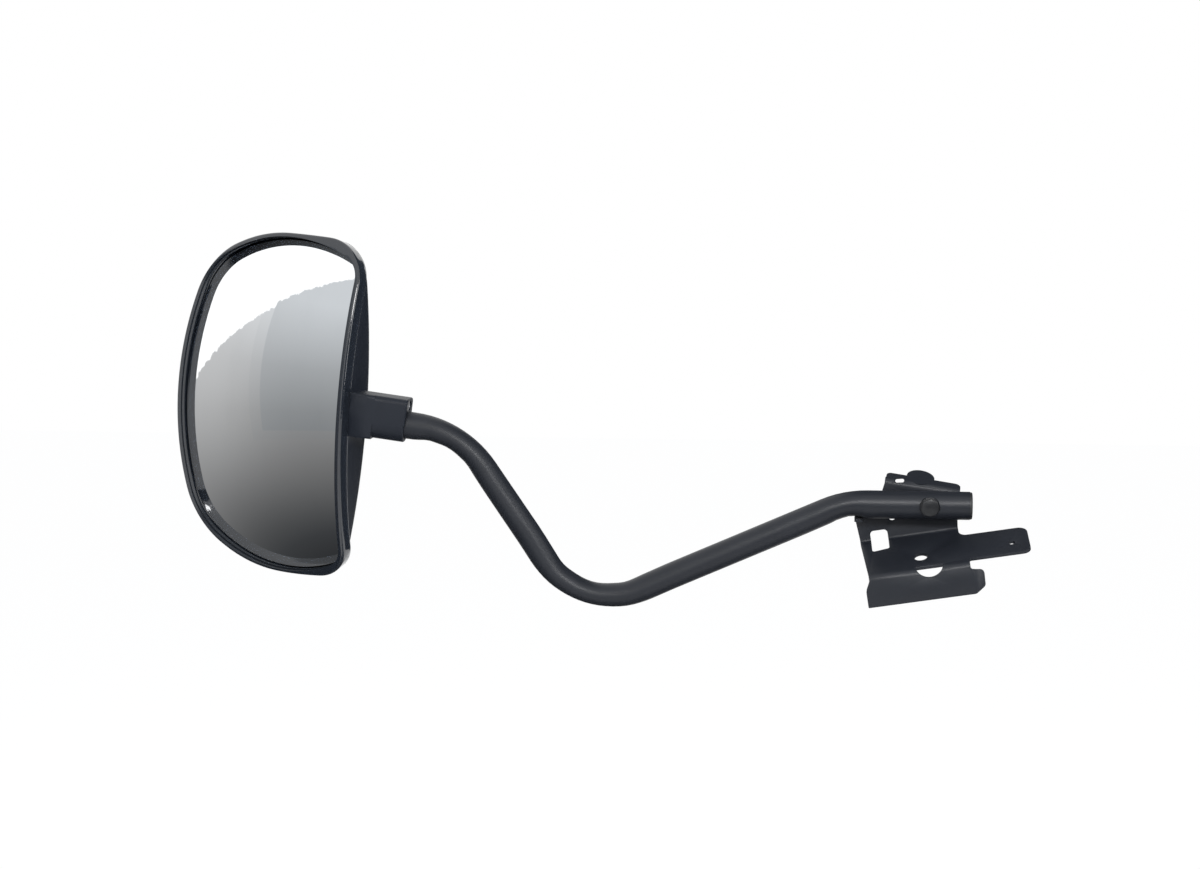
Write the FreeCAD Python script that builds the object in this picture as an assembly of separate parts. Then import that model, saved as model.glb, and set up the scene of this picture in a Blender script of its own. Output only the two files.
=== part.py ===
import FreeCAD, Part
import math
import os

# Exterior mirror for a commercial vehicle: convex mirror head on a bent tube arm,
# carried by a pressed steel bracket.  Millimetres, +Z up, the glass looks towards -Y.
# Everything is built round the arm's pivot bolt and moved at the end, so that the
# origin lies at the centre of the bracket's main fixing hole.

# ---------------------------------------------------------------- driving dimensions

RUNNING = 0.05            # radial or face gap between pieces that turn on each other
LOOSE = 0.20              # gap round a piece that is simply dropped in

# Arm tube: straight runs between bend corners, from the bracket end to the head
TUBE_D = 22.0
TUBE_WALL = 2.0
TAIL = 31.0               # pivot bolt to the tube's free end
RUN_PIVOT = 64.6          # pivot bolt to the first bend's corner
RUN_LONG = 227.0          # first corner to second corner
RUN_RISE = 174.0          # second corner to third corner
RUN_HEAD = 79.0           # third corner to the tube's end in the socket
TURN_DOWN = 23.8          # degrees
TURN_UP = 79.5
TURN_LEVEL = 48.0
BEND_R_DOWN = 80.0
BEND_R_UP = 69.5
BEND_R_LEVEL = 80.0

# Pivot joint
BOLT_D = 8.0
BOLT_HEAD_AF = 12.0
BOLT_HEAD_H = 5.0
BOLT_FLANGE_D = 14.5
BOLT_FLANGE_H = 1.2
SEAT_D = 16.0             # flat pressed into the tube under the bolt head
SEAT_DEPTH = 2.5          # how far the front seat lies below the tube's crown
REAR_SEAT_DEPTH = 1.0
BUSH_D = 12.0
PIVOT_WASHER_D = 17.0
REAR_WASHER_T = 1.6
SPRING_WASHER_T = 2.2
NUT_AF = 13.0
NUT_H = 7.0
NUT_FLANGE_D = 17.0
NUT_FLANGE_H = 1.5
BOLT_TAIL = 2.0           # thread showing past the nut
END_PLUG_DEPTH = 14.0

# Bracket pressing, in its own axes: x along the pressing, y rearwards, z up the web
SHEET = 2.5
BEND_IN = 3.0             # inside radius of every bend
BRACKET_ROLL = 9.0        # degrees that the pressing is turned about the bolt
SHELF_SLOPE = 22.0        # degrees that the shelf falls towards the front
WEB_GAP = 0.5             # tube's crown to the web's face
WEB_LEFT = -58.0
WEB_RIGHT = 19.5
WEB_FOOT = -23.5          # height of the rear bend
TOP_LEFT = (-31.0, 23.6)  # ends of the slanting top bend
TOP_RIGHT = (25.4, 6.4)
SHELF_DEPTH = 52.4
SHELF_FRONT_LEFT = -54.0
SHELF_FRONT_RIGHT = 24.0
TONGUE_BACK = 10.0
TONGUE_FRONT = 45.0
TONGUE_TIP = 71.5
TONGUE_HOLE = (57.9, 30.5)
TONGUE_HOLE_D = 5.0
TONGUE_TIP_R = 7.5
INSIDE_CORNER_R = 6.0
SHELF_HOLE = (-12.4, 33.0)
SHELF_HOLE_D = 10.5
LIP_HEIGHT = 24.0
LIP_LEFT = -57.4
LIP_TAB = 34.0
TAB_TURN = 38.0           # degrees that the lip's end is curled back
TAB_BEND_IN = 7.0
FLANGE_DEPTH = 11.5
LUG_R = 10.9
LUG_ALONG = 27.5
WINDOW = (-48.9, -35.3)   # left and right edges
WINDOW_TOP = -15.8
WINDOW_FRONT = 16.5
WINDOW_R = 3.0
HALF_MOON_X = -7.0
HALF_MOON_R = 11.3
HALF_MOON_DROP = 5.8      # how far the half moon reaches down the lip
SLOT_L = 7.0
SLOT_W = 2.8
SLOT_ALONG = 11.5
SLOT_TURN = 9.0           # degrees that the slot is turned from the top bend
PILOT_D = 6.0
PILOT_AT = (-30.0, -6.6)
STOP_W = 6.5
STOP_AT = -58.0           # left edge of the stop lug, along the tube
STOP_REACH = 11.0

# Mirror head, in its own axes: x across the glass, y backwards, z up the glass
HEAD_YAW = 28.0           # degrees that the glass is turned to the left
HEAD_LEAN = 5.15          # degrees that the head leans to the right
HEAD_REACH = 134.0        # socket face to the glass apex, along X
HEAD_SETBACK = 12.0
HEAD_RISE = 11.9
GLASS_R = 274.0           # convex radius
GLASS_T = 3.0
GLASS_LEFT = 73.0
GLASS_RIGHT = 86.6
GLASS_TOP = 134.9
GLASS_BOTTOM = 131.6
SIDE_R_LEFT = 625.0
SIDE_R_RIGHT = 876.0
TOP_R = 126.0
TOP_CENTRE = 19.0
CORNER_R_LEFT = 46.0
CORNER_R_RIGHT = 20.5
GLASS_GAP = 1.8           # glass edge to the bezel's inner wall
GLASS_GAP_BOTTOM = 1.0
RIM_LEFT = 4.2            # outer skin beyond the glass, at the rim's level
RIM_RIGHT = 8.0
RIM_TOP = 11.7
RIM_BOTTOM = 10.0
RIM_SIDE_R_LEFT = 1100.0  # flatter than the glass, because the skin tapers backwards
RIM_SIDE_R_RIGHT = 2300.0
RIM_TOP_R = 136.0
RIM_TOP_R_RIGHT = 1400.0  # the skin is squarer than the glass on its right side
RIM_BOTTOM_R_RIGHT = 500.0
RIM_TOP_TURN = 3.0        # degrees that the top still rises where its flatter part starts
RIM_CORNER_R_LEFT = 55.0
RIM_CORNER_R_UPPER = 36.0
RIM_CORNER_R_LOWER = 29.0
RIM_PROUD = 8.7           # bezel front in front of the glass
RIM_ROUND = 2.5
RIM_STEP = 1.2
BEZEL_DEPTH = 12.5
BEZEL_TONGUE = 6.0
BEZEL_TONGUE_T = 1.5
SHELL_WALL = 2.5
SHELL_DRAFT = 12.8
SHELL_DEPTH = 79.0
BACK_R_ACROSS = 122.0
BACK_R_TALL = 560.0
BACK_MIDDLE = 12.0        # height at which the back stands out furthest
BACK_ROUND = 9.0
RIM_LEVEL = 5.0           # depth at which the outer skin has the sizes above

# Glass carrier: a ribbed plate behind the glass, screwed to posts inside the shell
PAD_T = 1.0
PAD_W = 30.0
PAD_H = 56.0
PAD_X = 20.0              # pads lie this far left and right of the middle
PAD_Z = 88.0
CARRIER_T = 2.5
CARRIER_INSET = 6.0
CARRIER_CORNER_R = 48.0
RIB_T = 2.0
RIB_H = 5.0
RIB_REACH = 70.0          # from the middle to a rib's end
RING_D = 92.0             # ring that ties the ribs together
CARRIER_MIDDLE = 8.0      # middle of the screw pattern, across the glass
POST_X = 38.0             # screws lie this far left and right of the middle
POST_Z = 65.0
POST_FACE = 24.0          # depth at which carrier and shell meet
POST_D = 13.0
CARRIER_SCREW_D = 5.0
SCREW_HEAD_D = 9.0
SCREW_HEAD_H = 2.4
SCREW_SEAT = 2.5          # carrier left under the screw head
SCREW_BITE = 10.0         # thread length in the shell's post
SCREW_DRIVE = 3.0         # hexagon across flats
THREAD_R = 2.1            # core of the self-cutting thread

# Clamp socket, in its own axes: x outwards along the tube, y rearwards, z up
SOCKET_WALL = 2.7
FACE_CLEAR = 6.1          # straight tube between the bend and the socket's face
SOCKET_SETBACK = 0.6      # round part ends this far behind the upper box
SOCKET_BORE = 40.0        # depth of the bore from the box's end face
BOX_TOP = 21.3
BOX_ROUND = 4.5
FAIRING_REACH = 26.0      # how far the fairing comes forward at the shell's wall
SLOT_HALF = 5.5           # wedge slot
SLOT_FROM = 9.0
SLOT_TO = 38.0
SLOT_ROOF = 19.6
SLOT_FALL = 1.0
SCREW_Z = 15.6
CLAMP_SCREW_D = 4.0
CLAMP_HEAD_D = 7.0
CLAMP_HEAD_H = 3.3
CLAMP_HEX = 3.0
CLAMP_HEX_DEPTH = 2.2
CLAMP_HEAD_ROUND = 0.6
SCREW_TIP = 1.5           # screw beyond the square nut
RECESS_D = 8.8
RECESS_DEPTH = 4.6
CLAMP_WASHER_T = 0.8
WEDGE_FROM = 14.0
WEDGE_TO = 30.0
NUT_SQUARE = 7.0
SQUARE_NUT_T = 3.2

# ---------------------------------------------------------------- small helpers

V = FreeCAD.Vector
X, Y, Z = V(1, 0, 0), V(0, 1, 0), V(0, 0, 1)
TUBE_R = TUBE_D / 2
BARREL_R = TUBE_R + 0.1 + SOCKET_WALL
PARTS = {}


def turned(axis, degrees, at=V(0, 0, 0)):
    """Placement that turns about an axis through the origin and then moves."""
    return FreeCAD.Placement(at, FreeCAD.Rotation(axis, degrees))


def placed(shape, placement):
    """Copy of a shape, moved by a placement."""
    copy = shape.copy()
    copy.transformShape(placement.toMatrix(), True)
    return copy


def cylinder(radius, start, end):
    """Cylinder between two points."""
    axis = end - start
    return Part.makeCylinder(radius, axis.Length, start, axis)


def box(low, high):
    """Box between two corners."""
    return Part.makeBox(high.x - low.x, high.y - low.y, high.z - low.z, low)


def ring(outer, inner, start, end):
    """Washer or sleeve between two points."""
    return cylinder(outer, start, end).cut(cylinder(inner, start, end))


def hexagon(across_flats, start, end, turn=0.0):
    """Hexagonal prism between two points, one of X, Y or Z apart."""
    axis = end - start
    side = Z if abs(axis.x) > abs(axis.z) or abs(axis.y) > abs(axis.z) else X
    radius = across_flats / math.sqrt(3)
    corners = []
    for i in range(7):
        spin = FreeCAD.Rotation(axis, 60 * i + turn)
        corners.append(start + spin.multVec(side) * radius)
    return Part.Face(Part.makePolygon(corners)).extrude(axis)


def rounded_polygon(corners, radii):
    """Wire through 2D corners, each rounded by its own radius, in the XY plane."""
    count = len(corners)
    edges, joins = [], []
    for i in range(count):
        here, before, after = (V(*corners[j % count], 0) for j in (i, i - 1, i + 1))
        to_before, to_after = (before - here).normalize(), (after - here).normalize()
        if radii[i] <= 0:
            joins.append((here, None, here))
            continue
        half = to_before.getAngle(to_after) / 2
        back = radii[i] / math.tan(half)
        bisector = (to_before + to_after).normalize()
        middle = here + bisector * (radii[i] / math.sin(half) - radii[i])
        joins.append((here + to_before * back, middle, here + to_after * back))
    for i in range(count):
        start, middle, end = joins[i]
        if middle:
            edges.append(Part.Arc(start, middle, end).toShape())
        following = joins[(i + 1) % count][0]
        if (following - end).Length > 1e-6:
            edges.append(Part.LineSegment(end, following).toShape())
    return Part.Wire(edges)


def slab(corners, radii, thickness):
    """Plate of an outline in the XY plane, from z = 0 up."""
    return Part.Face(rounded_polygon(corners, radii)).extrude(Z * thickness)


def tidy(shape):
    """Single solid with its split faces joined."""
    clean = shape.removeSplitter()
    if len(clean.Solids) == 1:
        return clean.Solids[0]
    return clean


# ---------------------------------------------------------------- arm

def arm_corners():
    """Bend corners of the tube's centre line, from the free end to the socket."""
    heading = 0.0
    points = [V(TAIL, 0, 0), V(-RUN_PIVOT, 0, 0)]
    for turn, run in ((TURN_DOWN, RUN_LONG), (-TURN_UP, RUN_RISE), (TURN_LEVEL, RUN_HEAD)):
        heading += turn
        angle = math.radians(heading)
        points.append(points[-1] + V(-math.cos(angle), 0, -math.sin(angle)) * run)
    return points


ARM = arm_corners()
SOCKET_LEVEL = TURN_UP - TURN_DOWN - TURN_LEVEL    # degrees that the tube rises into the socket
FACE_RUN = BEND_R_LEVEL * math.tan(math.radians(TURN_LEVEL / 2)) + FACE_CLEAR
INTO_HEAD = (ARM[4] - ARM[3]).normalize()
SOCKET_FACE = ARM[3] + INTO_HEAD * FACE_RUN
SOCKET_PLACE = turned(Y, SOCKET_LEVEL, SOCKET_FACE)
HEAD_PLACE = FreeCAD.Placement(
    SOCKET_FACE + V(-HEAD_REACH, HEAD_SETBACK, HEAD_RISE),
    FreeCAD.Rotation(Z, -HEAD_YAW).multiply(FreeCAD.Rotation(Y, HEAD_LEAN)))


def bent_rod(radius):
    """Round bar along the arm's centre line: straight runs and tangent bends."""
    radii = (BEND_R_DOWN, BEND_R_UP, BEND_R_LEVEL)
    start = ARM[0]
    pieces = []
    for i, bend in enumerate(radii, start=1):
        back = (ARM[i - 1] - ARM[i]).normalize()
        onward = (ARM[i + 1] - ARM[i]).normalize()
        half = back.getAngle(onward) / 2
        length = bend / math.tan(half)
        enter, leave = ARM[i] + back * length, ARM[i] + onward * length
        centre = ARM[i] + (back + onward).normalize() * (bend / math.sin(half))
        pieces.append(cylinder(radius, start, enter))
        section = Part.Face(Part.Wire(Part.makeCircle(radius, enter, back)))
        axis = back.cross(onward).normalize()
        turn = 180 - math.degrees(2 * half)
        swept = section.revolve(centre, axis * -1, turn)
        if (swept.CenterOfMass - ARM[i]).Length > (section.revolve(centre, axis, turn).CenterOfMass
                                                   - ARM[i]).Length:
            swept = section.revolve(centre, axis, turn)
        pieces.append(swept)
        start = leave
    pieces.append(cylinder(radius, start, ARM[-1]))
    return pieces[0].multiFuse(pieces[1:])


FRONT_SEAT = -(TUBE_R - SEAT_DEPTH)          # y of the flat under the bolt head
REAR_SEAT = TUBE_R - REAR_SEAT_DEPTH         # y of the flat towards the web
BUSH_END = 6.5                               # y where the bush meets the rear of the bore
WEB_FACE = TUBE_R + WEB_GAP
WEB_BACK = WEB_FACE + SHEET


def arm_tube():
    outer = bent_rod(TUBE_R)
    front_cut = cylinder(SEAT_D / 2, V(0, -TUBE_R - 1, 0), V(0, FRONT_SEAT, 0))
    rear_cut = cylinder(SEAT_D / 2 + 1, V(0, REAR_SEAT, 0), V(0, TUBE_R + 1, 0))
    outer = outer.cut(front_cut).cut(rear_cut)
    bore = bent_rod(TUBE_R - TUBE_WALL)
    front_keep = cylinder(SEAT_D / 2 + TUBE_WALL, V(0, -TUBE_R, 0), V(0, FRONT_SEAT + TUBE_WALL, 0))
    rear_keep = cylinder(SEAT_D / 2 + TUBE_WALL, V(0, BUSH_END, 0), V(0, TUBE_R, 0))
    tube = outer.cut(bore.cut(front_keep).cut(rear_keep))
    hole = cylinder(BOLT_D / 2 + LOOSE, V(0, -TUBE_R, 0), V(0, TUBE_R, 0))
    PARTS["arm_tube"] = tidy(tube.cut(hole))
    PARTS["pivot_bush"] = ring(BUSH_D / 2, BOLT_D / 2 + RUNNING, V(0, FRONT_SEAT + TUBE_WALL, 0),
                               V(0, BUSH_END, 0))


def tube_plugs():
    bore = TUBE_R - TUBE_WALL
    rim = 2.0
    stem = ring(bore, bore - 1.8, V(TAIL - END_PLUG_DEPTH, 0, 0), V(TAIL, 0, 0))
    head = cylinder(TUBE_R - 0.4, V(TAIL, 0, 0), V(TAIL + rim, 0, 0))
    head = head.makeFillet(1.2, [e for e in head.Edges if e.BoundBox.XMin > TAIL + rim - 0.1
                                 and e.BoundBox.YLength > 1])
    PARTS["tube_end_cap"] = tidy(stem.fuse(head))
    end, back = ARM[-1], INTO_HEAD * -1
    stem = ring(bore, bore - 1.8, end + back * (END_PLUG_DEPTH - 4), end)
    head = cylinder(TUBE_R - 0.8, end, end + INTO_HEAD * 1.5)
    PARTS["tube_inner_plug"] = tidy(stem.fuse(head))


def pivot_hardware():
    head_base = FRONT_SEAT - RUNNING
    hexagon_front = head_base - BOLT_HEAD_H
    nut_seat = WEB_BACK + REAR_WASHER_T + SPRING_WASHER_T
    tip = nut_seat + NUT_H + BOLT_TAIL
    head = hexagon(BOLT_HEAD_AF, V(0, hexagon_front, 0), V(0, head_base, 0), 12)
    rounding = Part.makeCone(BOLT_HEAD_AF / 2, BOLT_HEAD_AF / 2 + BOLT_HEAD_H * 2.2, BOLT_HEAD_H,
                             V(0, hexagon_front, 0), Y)
    flange = cylinder(BOLT_FLANGE_D / 2, V(0, head_base - BOLT_FLANGE_H, 0), V(0, head_base, 0))
    shank = cylinder(BOLT_D / 2, V(0, head_base, 0), V(0, tip, 0))
    shank = shank.makeChamfer(0.8, [e for e in shank.Edges if e.BoundBox.YMin > tip - 0.1])
    PARTS["pivot_bolt"] = tidy(head.common(rounding).fuse(flange).fuse(shank))
    bore = BOLT_D / 2 + RUNNING
    PARTS["friction_washer"] = ring(PIVOT_WASHER_D / 2, bore, V(0, REAR_SEAT + RUNNING, 0),
                                    V(0, WEB_FACE, 0))
    PARTS["rear_washer"] = ring(PIVOT_WASHER_D / 2, bore, V(0, WEB_BACK, 0),
                                V(0, WEB_BACK + REAR_WASHER_T, 0))
    spring_back = WEB_BACK + REAR_WASHER_T
    outer = Part.makeCone(PIVOT_WASHER_D / 2 - 0.5, BOLT_D / 2 + 2.6, SPRING_WASHER_T,
                          V(0, spring_back, 0), Y)
    inner = Part.makeCone(PIVOT_WASHER_D / 2 - 2.2, bore + 0.1, SPRING_WASHER_T - 1.1,
                          V(0, spring_back, 0), Y)
    hole = cylinder(bore, V(0, spring_back, 0), V(0, nut_seat, 0))
    PARTS["spring_washer"] = tidy(outer.cut(inner).cut(hole))
    nut = hexagon(NUT_AF, V(0, nut_seat, 0), V(0, nut_seat + NUT_H, 0))
    nut = nut.fuse(cylinder(NUT_FLANGE_D / 2, V(0, nut_seat, 0), V(0, nut_seat + NUT_FLANGE_H, 0)))
    PARTS["pivot_nut"] = tidy(nut.cut(cylinder(BOLT_D / 2, V(0, nut_seat, 0),
                                               V(0, nut_seat + NUT_H, 0))))


# ---------------------------------------------------------------- bracket

BRACKET_PLACE = turned(Y, -BRACKET_ROLL)
SLOPE = math.radians(SHELF_SLOPE)
BEND_TURN = 90 - SHELF_SLOPE
BEND_HALF = math.radians(BEND_TURN / 2)
SHELF_START = BEND_IN * math.tan(BEND_HALF)
SHELF_END = SHELF_DEPTH - (BEND_IN + SHEET) * math.tan(BEND_HALF)
# shelf axes: x along, y down the slope towards the front, z out of the underside
SHELF_PLACE = FreeCAD.Placement(V(0, WEB_FACE, WEB_FOOT),
                                FreeCAD.Rotation(X, 180 + SHELF_SLOPE))
SHELF_HOLE_UNDER = BRACKET_PLACE.multVec(SHELF_PLACE.multVec(V(*SHELF_HOLE, SHEET)))


def upright(corners, radii, face, thickness=SHEET):
    """Plate of an (x, z) outline whose front face lies at y = face."""
    flat = slab(corners, radii, thickness)
    flat = placed(flat, turned(X, 90))
    return placed(flat, FreeCAD.Placement(V(0, face + thickness, 0), FreeCAD.Rotation()))


def bend_strip(place, x_from, x_to, radius, turn):
    """Bent strip of sheet: an annular sector of the given inside radius, along x.

    The sector starts on the +Y side of its centre and turns towards +Z.
    """
    start = V(x_from, radius, 0)
    section = Part.makePolygon([start, start + Y * SHEET, start + Y * SHEET + X * (x_to - x_from),
                                start + X * (x_to - x_from), start])
    strip = Part.Face(section).revolve(V(0, 0, 0), X, turn)
    return placed(strip, place)


def web():
    """Upright plate behind the tube."""
    d = V(TOP_RIGHT[0] - TOP_LEFT[0], 0, TOP_RIGHT[1] - TOP_LEFT[1]).normalize()
    drop = (BEND_IN + SHEET) * math.tan(BEND_HALF)
    down = V(d.z, 0, -d.x) * drop
    left = (TOP_LEFT[0] + down.x, TOP_LEFT[1] + down.z)
    right = (TOP_RIGHT[0] + down.x, TOP_RIGHT[1] + down.z)
    foot = WEB_FOOT + SHELF_START
    corners = [(WEB_LEFT + 0.6, foot), (WEB_RIGHT, foot), (WEB_RIGHT + 1.5, -8.0), right, left,
               (TOP_LEFT[0] - 5.5, 11.0), (WEB_LEFT + 6.0, 6.5), (WEB_LEFT - 1.0, -2.0)]
    return upright(corners, [0, 0, 6, 0, 0, 5, 6, 2], WEB_FACE)


def top_flange():
    """Flange that folds back from the slanting top bend, with its rounded lug."""
    d = V(TOP_RIGHT[0] - TOP_LEFT[0], 0, TOP_RIGHT[1] - TOP_LEFT[1])
    length = d.Length
    slant = math.degrees(math.atan2(-d.z, d.x))
    along = turned(Y, slant, V(TOP_LEFT[0], WEB_FACE, TOP_LEFT[1]))
    start = (BEND_IN + SHEET) * math.tan(BEND_HALF)
    # flange axes: x along the bend, y back and up the flange, z out of its upper face
    flange_place = along.multiply(turned(X, SHELF_SLOPE))
    corners = [(0.5, start), (length, start), (length, FLANGE_DEPTH - 2), (1.0, FLANGE_DEPTH)]
    plate = slab(corners, [0, 0, 4.5, 4], SHEET)
    plate = plate.fuse(cylinder(LUG_R, V(LUG_ALONG, FLANGE_DEPTH, 0), V(LUG_ALONG, FLANGE_DEPTH, SHEET)))
    plate.translate(Z * -SHEET)
    plate = placed(plate, flange_place)
    centre = V(0, BEND_IN + SHEET, -(BEND_IN + SHEET) * math.tan(BEND_HALF))
    bend_place = along.multiply(FreeCAD.Placement(centre, FreeCAD.Rotation(X, 180)))
    bend = bend_strip(bend_place, 0.0, length, BEND_IN, -BEND_TURN)
    return plate.fuse(bend)


def shelf():
    """Sloping shelf with its tongue."""
    corners = [(WEB_LEFT + 0.6, SHELF_START), (WEB_RIGHT, SHELF_START), (WEB_RIGHT, TONGUE_BACK),
               (TONGUE_TIP, TONGUE_BACK), (TONGUE_TIP, TONGUE_FRONT), (SHELF_FRONT_RIGHT, TONGUE_FRONT),
               (SHELF_FRONT_RIGHT, SHELF_END), (SHELF_FRONT_LEFT, SHELF_END)]
    radii = [0, 0, INSIDE_CORNER_R, TONGUE_TIP_R, TONGUE_TIP_R - 1.5, 1.5, 0, 0]
    plate = slab(corners, radii, SHEET)
    for at, diameter in ((SHELF_HOLE, SHELF_HOLE_D), (TONGUE_HOLE, TONGUE_HOLE_D)):
        plate = plate.cut(cylinder(diameter / 2, V(*at, -1), V(*at, SHEET + 1)))
    return placed(plate, SHELF_PLACE)


LIP_FACE = WEB_FACE - SHELF_DEPTH * math.cos(SLOPE)
LIP_TOP = WEB_FOOT - SHELF_DEPTH * math.sin(SLOPE)
LIP_START = LIP_TOP - (BEND_IN + SHEET) * math.tan(BEND_HALF)
LIP_BOTTOM = LIP_TOP - LIP_HEIGHT


def front_lip():
    """Lip that hangs from the shelf's front bend; its right end is curled back."""
    split = SHELF_FRONT_RIGHT - 2.0
    corners = [(SHELF_FRONT_LEFT, LIP_START), (LIP_LEFT, LIP_START - 7.0), (LIP_LEFT, LIP_BOTTOM),
               (split, LIP_BOTTOM), (split, LIP_START)]
    plate = upright(corners, [0, 9.0, 0.8, 0, 0], LIP_FACE)
    outline = [(split, LIP_BOTTOM), (LIP_TAB - 8.5, LIP_BOTTOM), (LIP_TAB - 0.5, LIP_BOTTOM + 4.5),
               (LIP_TAB, LIP_START - 3.5), (SHELF_FRONT_RIGHT + 1.0, LIP_START - 1.0),
               (SHELF_FRONT_RIGHT, LIP_START), (split, LIP_START)]
    cutter = upright(outline, [0, 3, 3, 4, 0, 0, 0], LIP_FACE - 2, 20.0)
    straight = box(V(split, LIP_FACE, LIP_BOTTOM), V(SHELF_FRONT_RIGHT, LIP_FACE + SHEET, LIP_START))
    centre = V(SHELF_FRONT_RIGHT, LIP_FACE + SHEET + TAB_BEND_IN, 0)
    corners = [V(centre.x, LIP_FACE, LIP_BOTTOM), V(centre.x, LIP_FACE + SHEET, LIP_BOTTOM),
               V(centre.x, LIP_FACE + SHEET, LIP_START), V(centre.x, LIP_FACE, LIP_START)]
    section = Part.Face(Part.makePolygon(corners + corners[:1]))
    curl = section.revolve(centre, Z, TAB_TURN)
    end = section.copy()
    end.rotate(centre, Z, TAB_TURN)
    onward = V(math.cos(math.radians(TAB_TURN)), math.sin(math.radians(TAB_TURN)), 0)
    tail = end.extrude(onward * 12)
    tab = straight.fuse(curl).fuse(tail).common(cutter)
    return plate.fuse(tab)


def bracket_plate():
    rear_centre = V(0, WEB_FACE - BEND_IN, WEB_FOOT + SHELF_START)
    rear_bend = bend_strip(FreeCAD.Placement(rear_centre, FreeCAD.Rotation()),
                           WEB_LEFT + 0.6, WEB_RIGHT, BEND_IN, -BEND_TURN)
    front_centre = V(0, LIP_FACE + SHEET + BEND_IN, LIP_START)
    front_bend = bend_strip(FreeCAD.Placement(front_centre, FreeCAD.Rotation(X, 180)),
                            SHELF_FRONT_LEFT, SHELF_FRONT_RIGHT, BEND_IN, -BEND_TURN)
    plate = web().multiFuse([top_flange(), rear_bend, shelf(), front_bend, front_lip()])

    left, right = WINDOW
    through = 8.0
    upper = upright([(left, WEB_FOOT - 5), (right, WEB_FOOT - 5), (right, WINDOW_TOP), (left, WINDOW_TOP)],
                    [0, 0, WINDOW_R, WINDOW_R], WEB_FACE - 3, through)
    lower = slab([(left, -3), (right, -3), (right, WINDOW_FRONT - 2.5), (left, WINDOW_FRONT)],
                 [0, 0, WINDOW_R - 1, WINDOW_R - 1], through)
    lower.translate(Z * -through / 2)
    lower = placed(lower, SHELF_PLACE)
    moon_z = LIP_START - HALF_MOON_DROP + 3.0 + HALF_MOON_R
    moon = cylinder(HALF_MOON_R, V(HALF_MOON_X, LIP_FACE - 2, moon_z), V(HALF_MOON_X, LIP_FACE + 5.0, moon_z))
    d = V(TOP_RIGHT[0] - TOP_LEFT[0], 0, TOP_RIGHT[1] - TOP_LEFT[1]).normalize()
    slot_mid = V(TOP_LEFT[0], WEB_FACE - 2, TOP_LEFT[1]) + d * SLOT_ALONG
    slant = math.degrees(math.atan2(-d.z, d.x))
    slot = slab([(-SLOT_L / 2, -SLOT_W / 2), (SLOT_L / 2, -SLOT_W / 2), (SLOT_L / 2, SLOT_W / 2),
                 (-SLOT_L / 2, SLOT_W / 2)], [SLOT_W / 2.1] * 4, 12.0)
    slot = placed(placed(slot, turned(X, -90)), turned(Y, slant - SLOT_TURN, slot_mid))
    pilot = cylinder(PILOT_D / 2, V(PILOT_AT[0], WEB_FACE - 1, PILOT_AT[1]),
                     V(PILOT_AT[0], WEB_BACK + 1, PILOT_AT[1]))
    pivot = cylinder(BOLT_D / 2 + LOOSE, V(0, WEB_FACE - 1, 0), V(0, WEB_BACK + 1, 0))
    plate = plate.cut(Part.makeCompound([upper, lower])).cut(moon).cut(slot).cut(pilot).cut(pivot)
    plate = placed(plate, BRACKET_PLACE)

    # stop lug: the tube's underside rests on it
    bend_start = RUN_PIVOT - BEND_R_DOWN * math.tan(math.radians(TURN_DOWN / 2))
    reach = -STOP_AT - bend_start
    fall = BEND_R_DOWN - math.sqrt(BEND_R_DOWN ** 2 - max(reach, 0.0) ** 2)
    top = -TUBE_R - fall - 2 * RUNNING
    lug = box(V(STOP_AT, WEB_FACE - STOP_REACH, top - SHEET), V(STOP_AT + STOP_W, WEB_FACE + 0.5, top))
    front = [e for e in lug.Edges if e.BoundBox.YMax < WEB_FACE - STOP_REACH + 0.1
             and e.BoundBox.ZLength > 1]
    lug = lug.makeFillet(2.0, front)
    PARTS["bracket_plate"] = tidy(plate.fuse(lug))


# ---------------------------------------------------------------- head outlines

def meeting(centre_a, radius_a, centre_b, radius_b, towards):
    """Point at two given distances from two centres, on the side that is pointed at."""
    between = centre_b - centre_a
    span = between.Length
    along = (radius_a ** 2 - radius_b ** 2 + span ** 2) / (2 * span)
    across = math.sqrt(max(radius_a ** 2 - along ** 2, 0.0))
    unit = between * (1 / span)
    side = V(-unit.z, 0, unit.x)
    choices = [centre_a + unit * along + side * across, centre_a + unit * along - side * across]
    return max(choices, key=lambda p: p.dot(towards))


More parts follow.
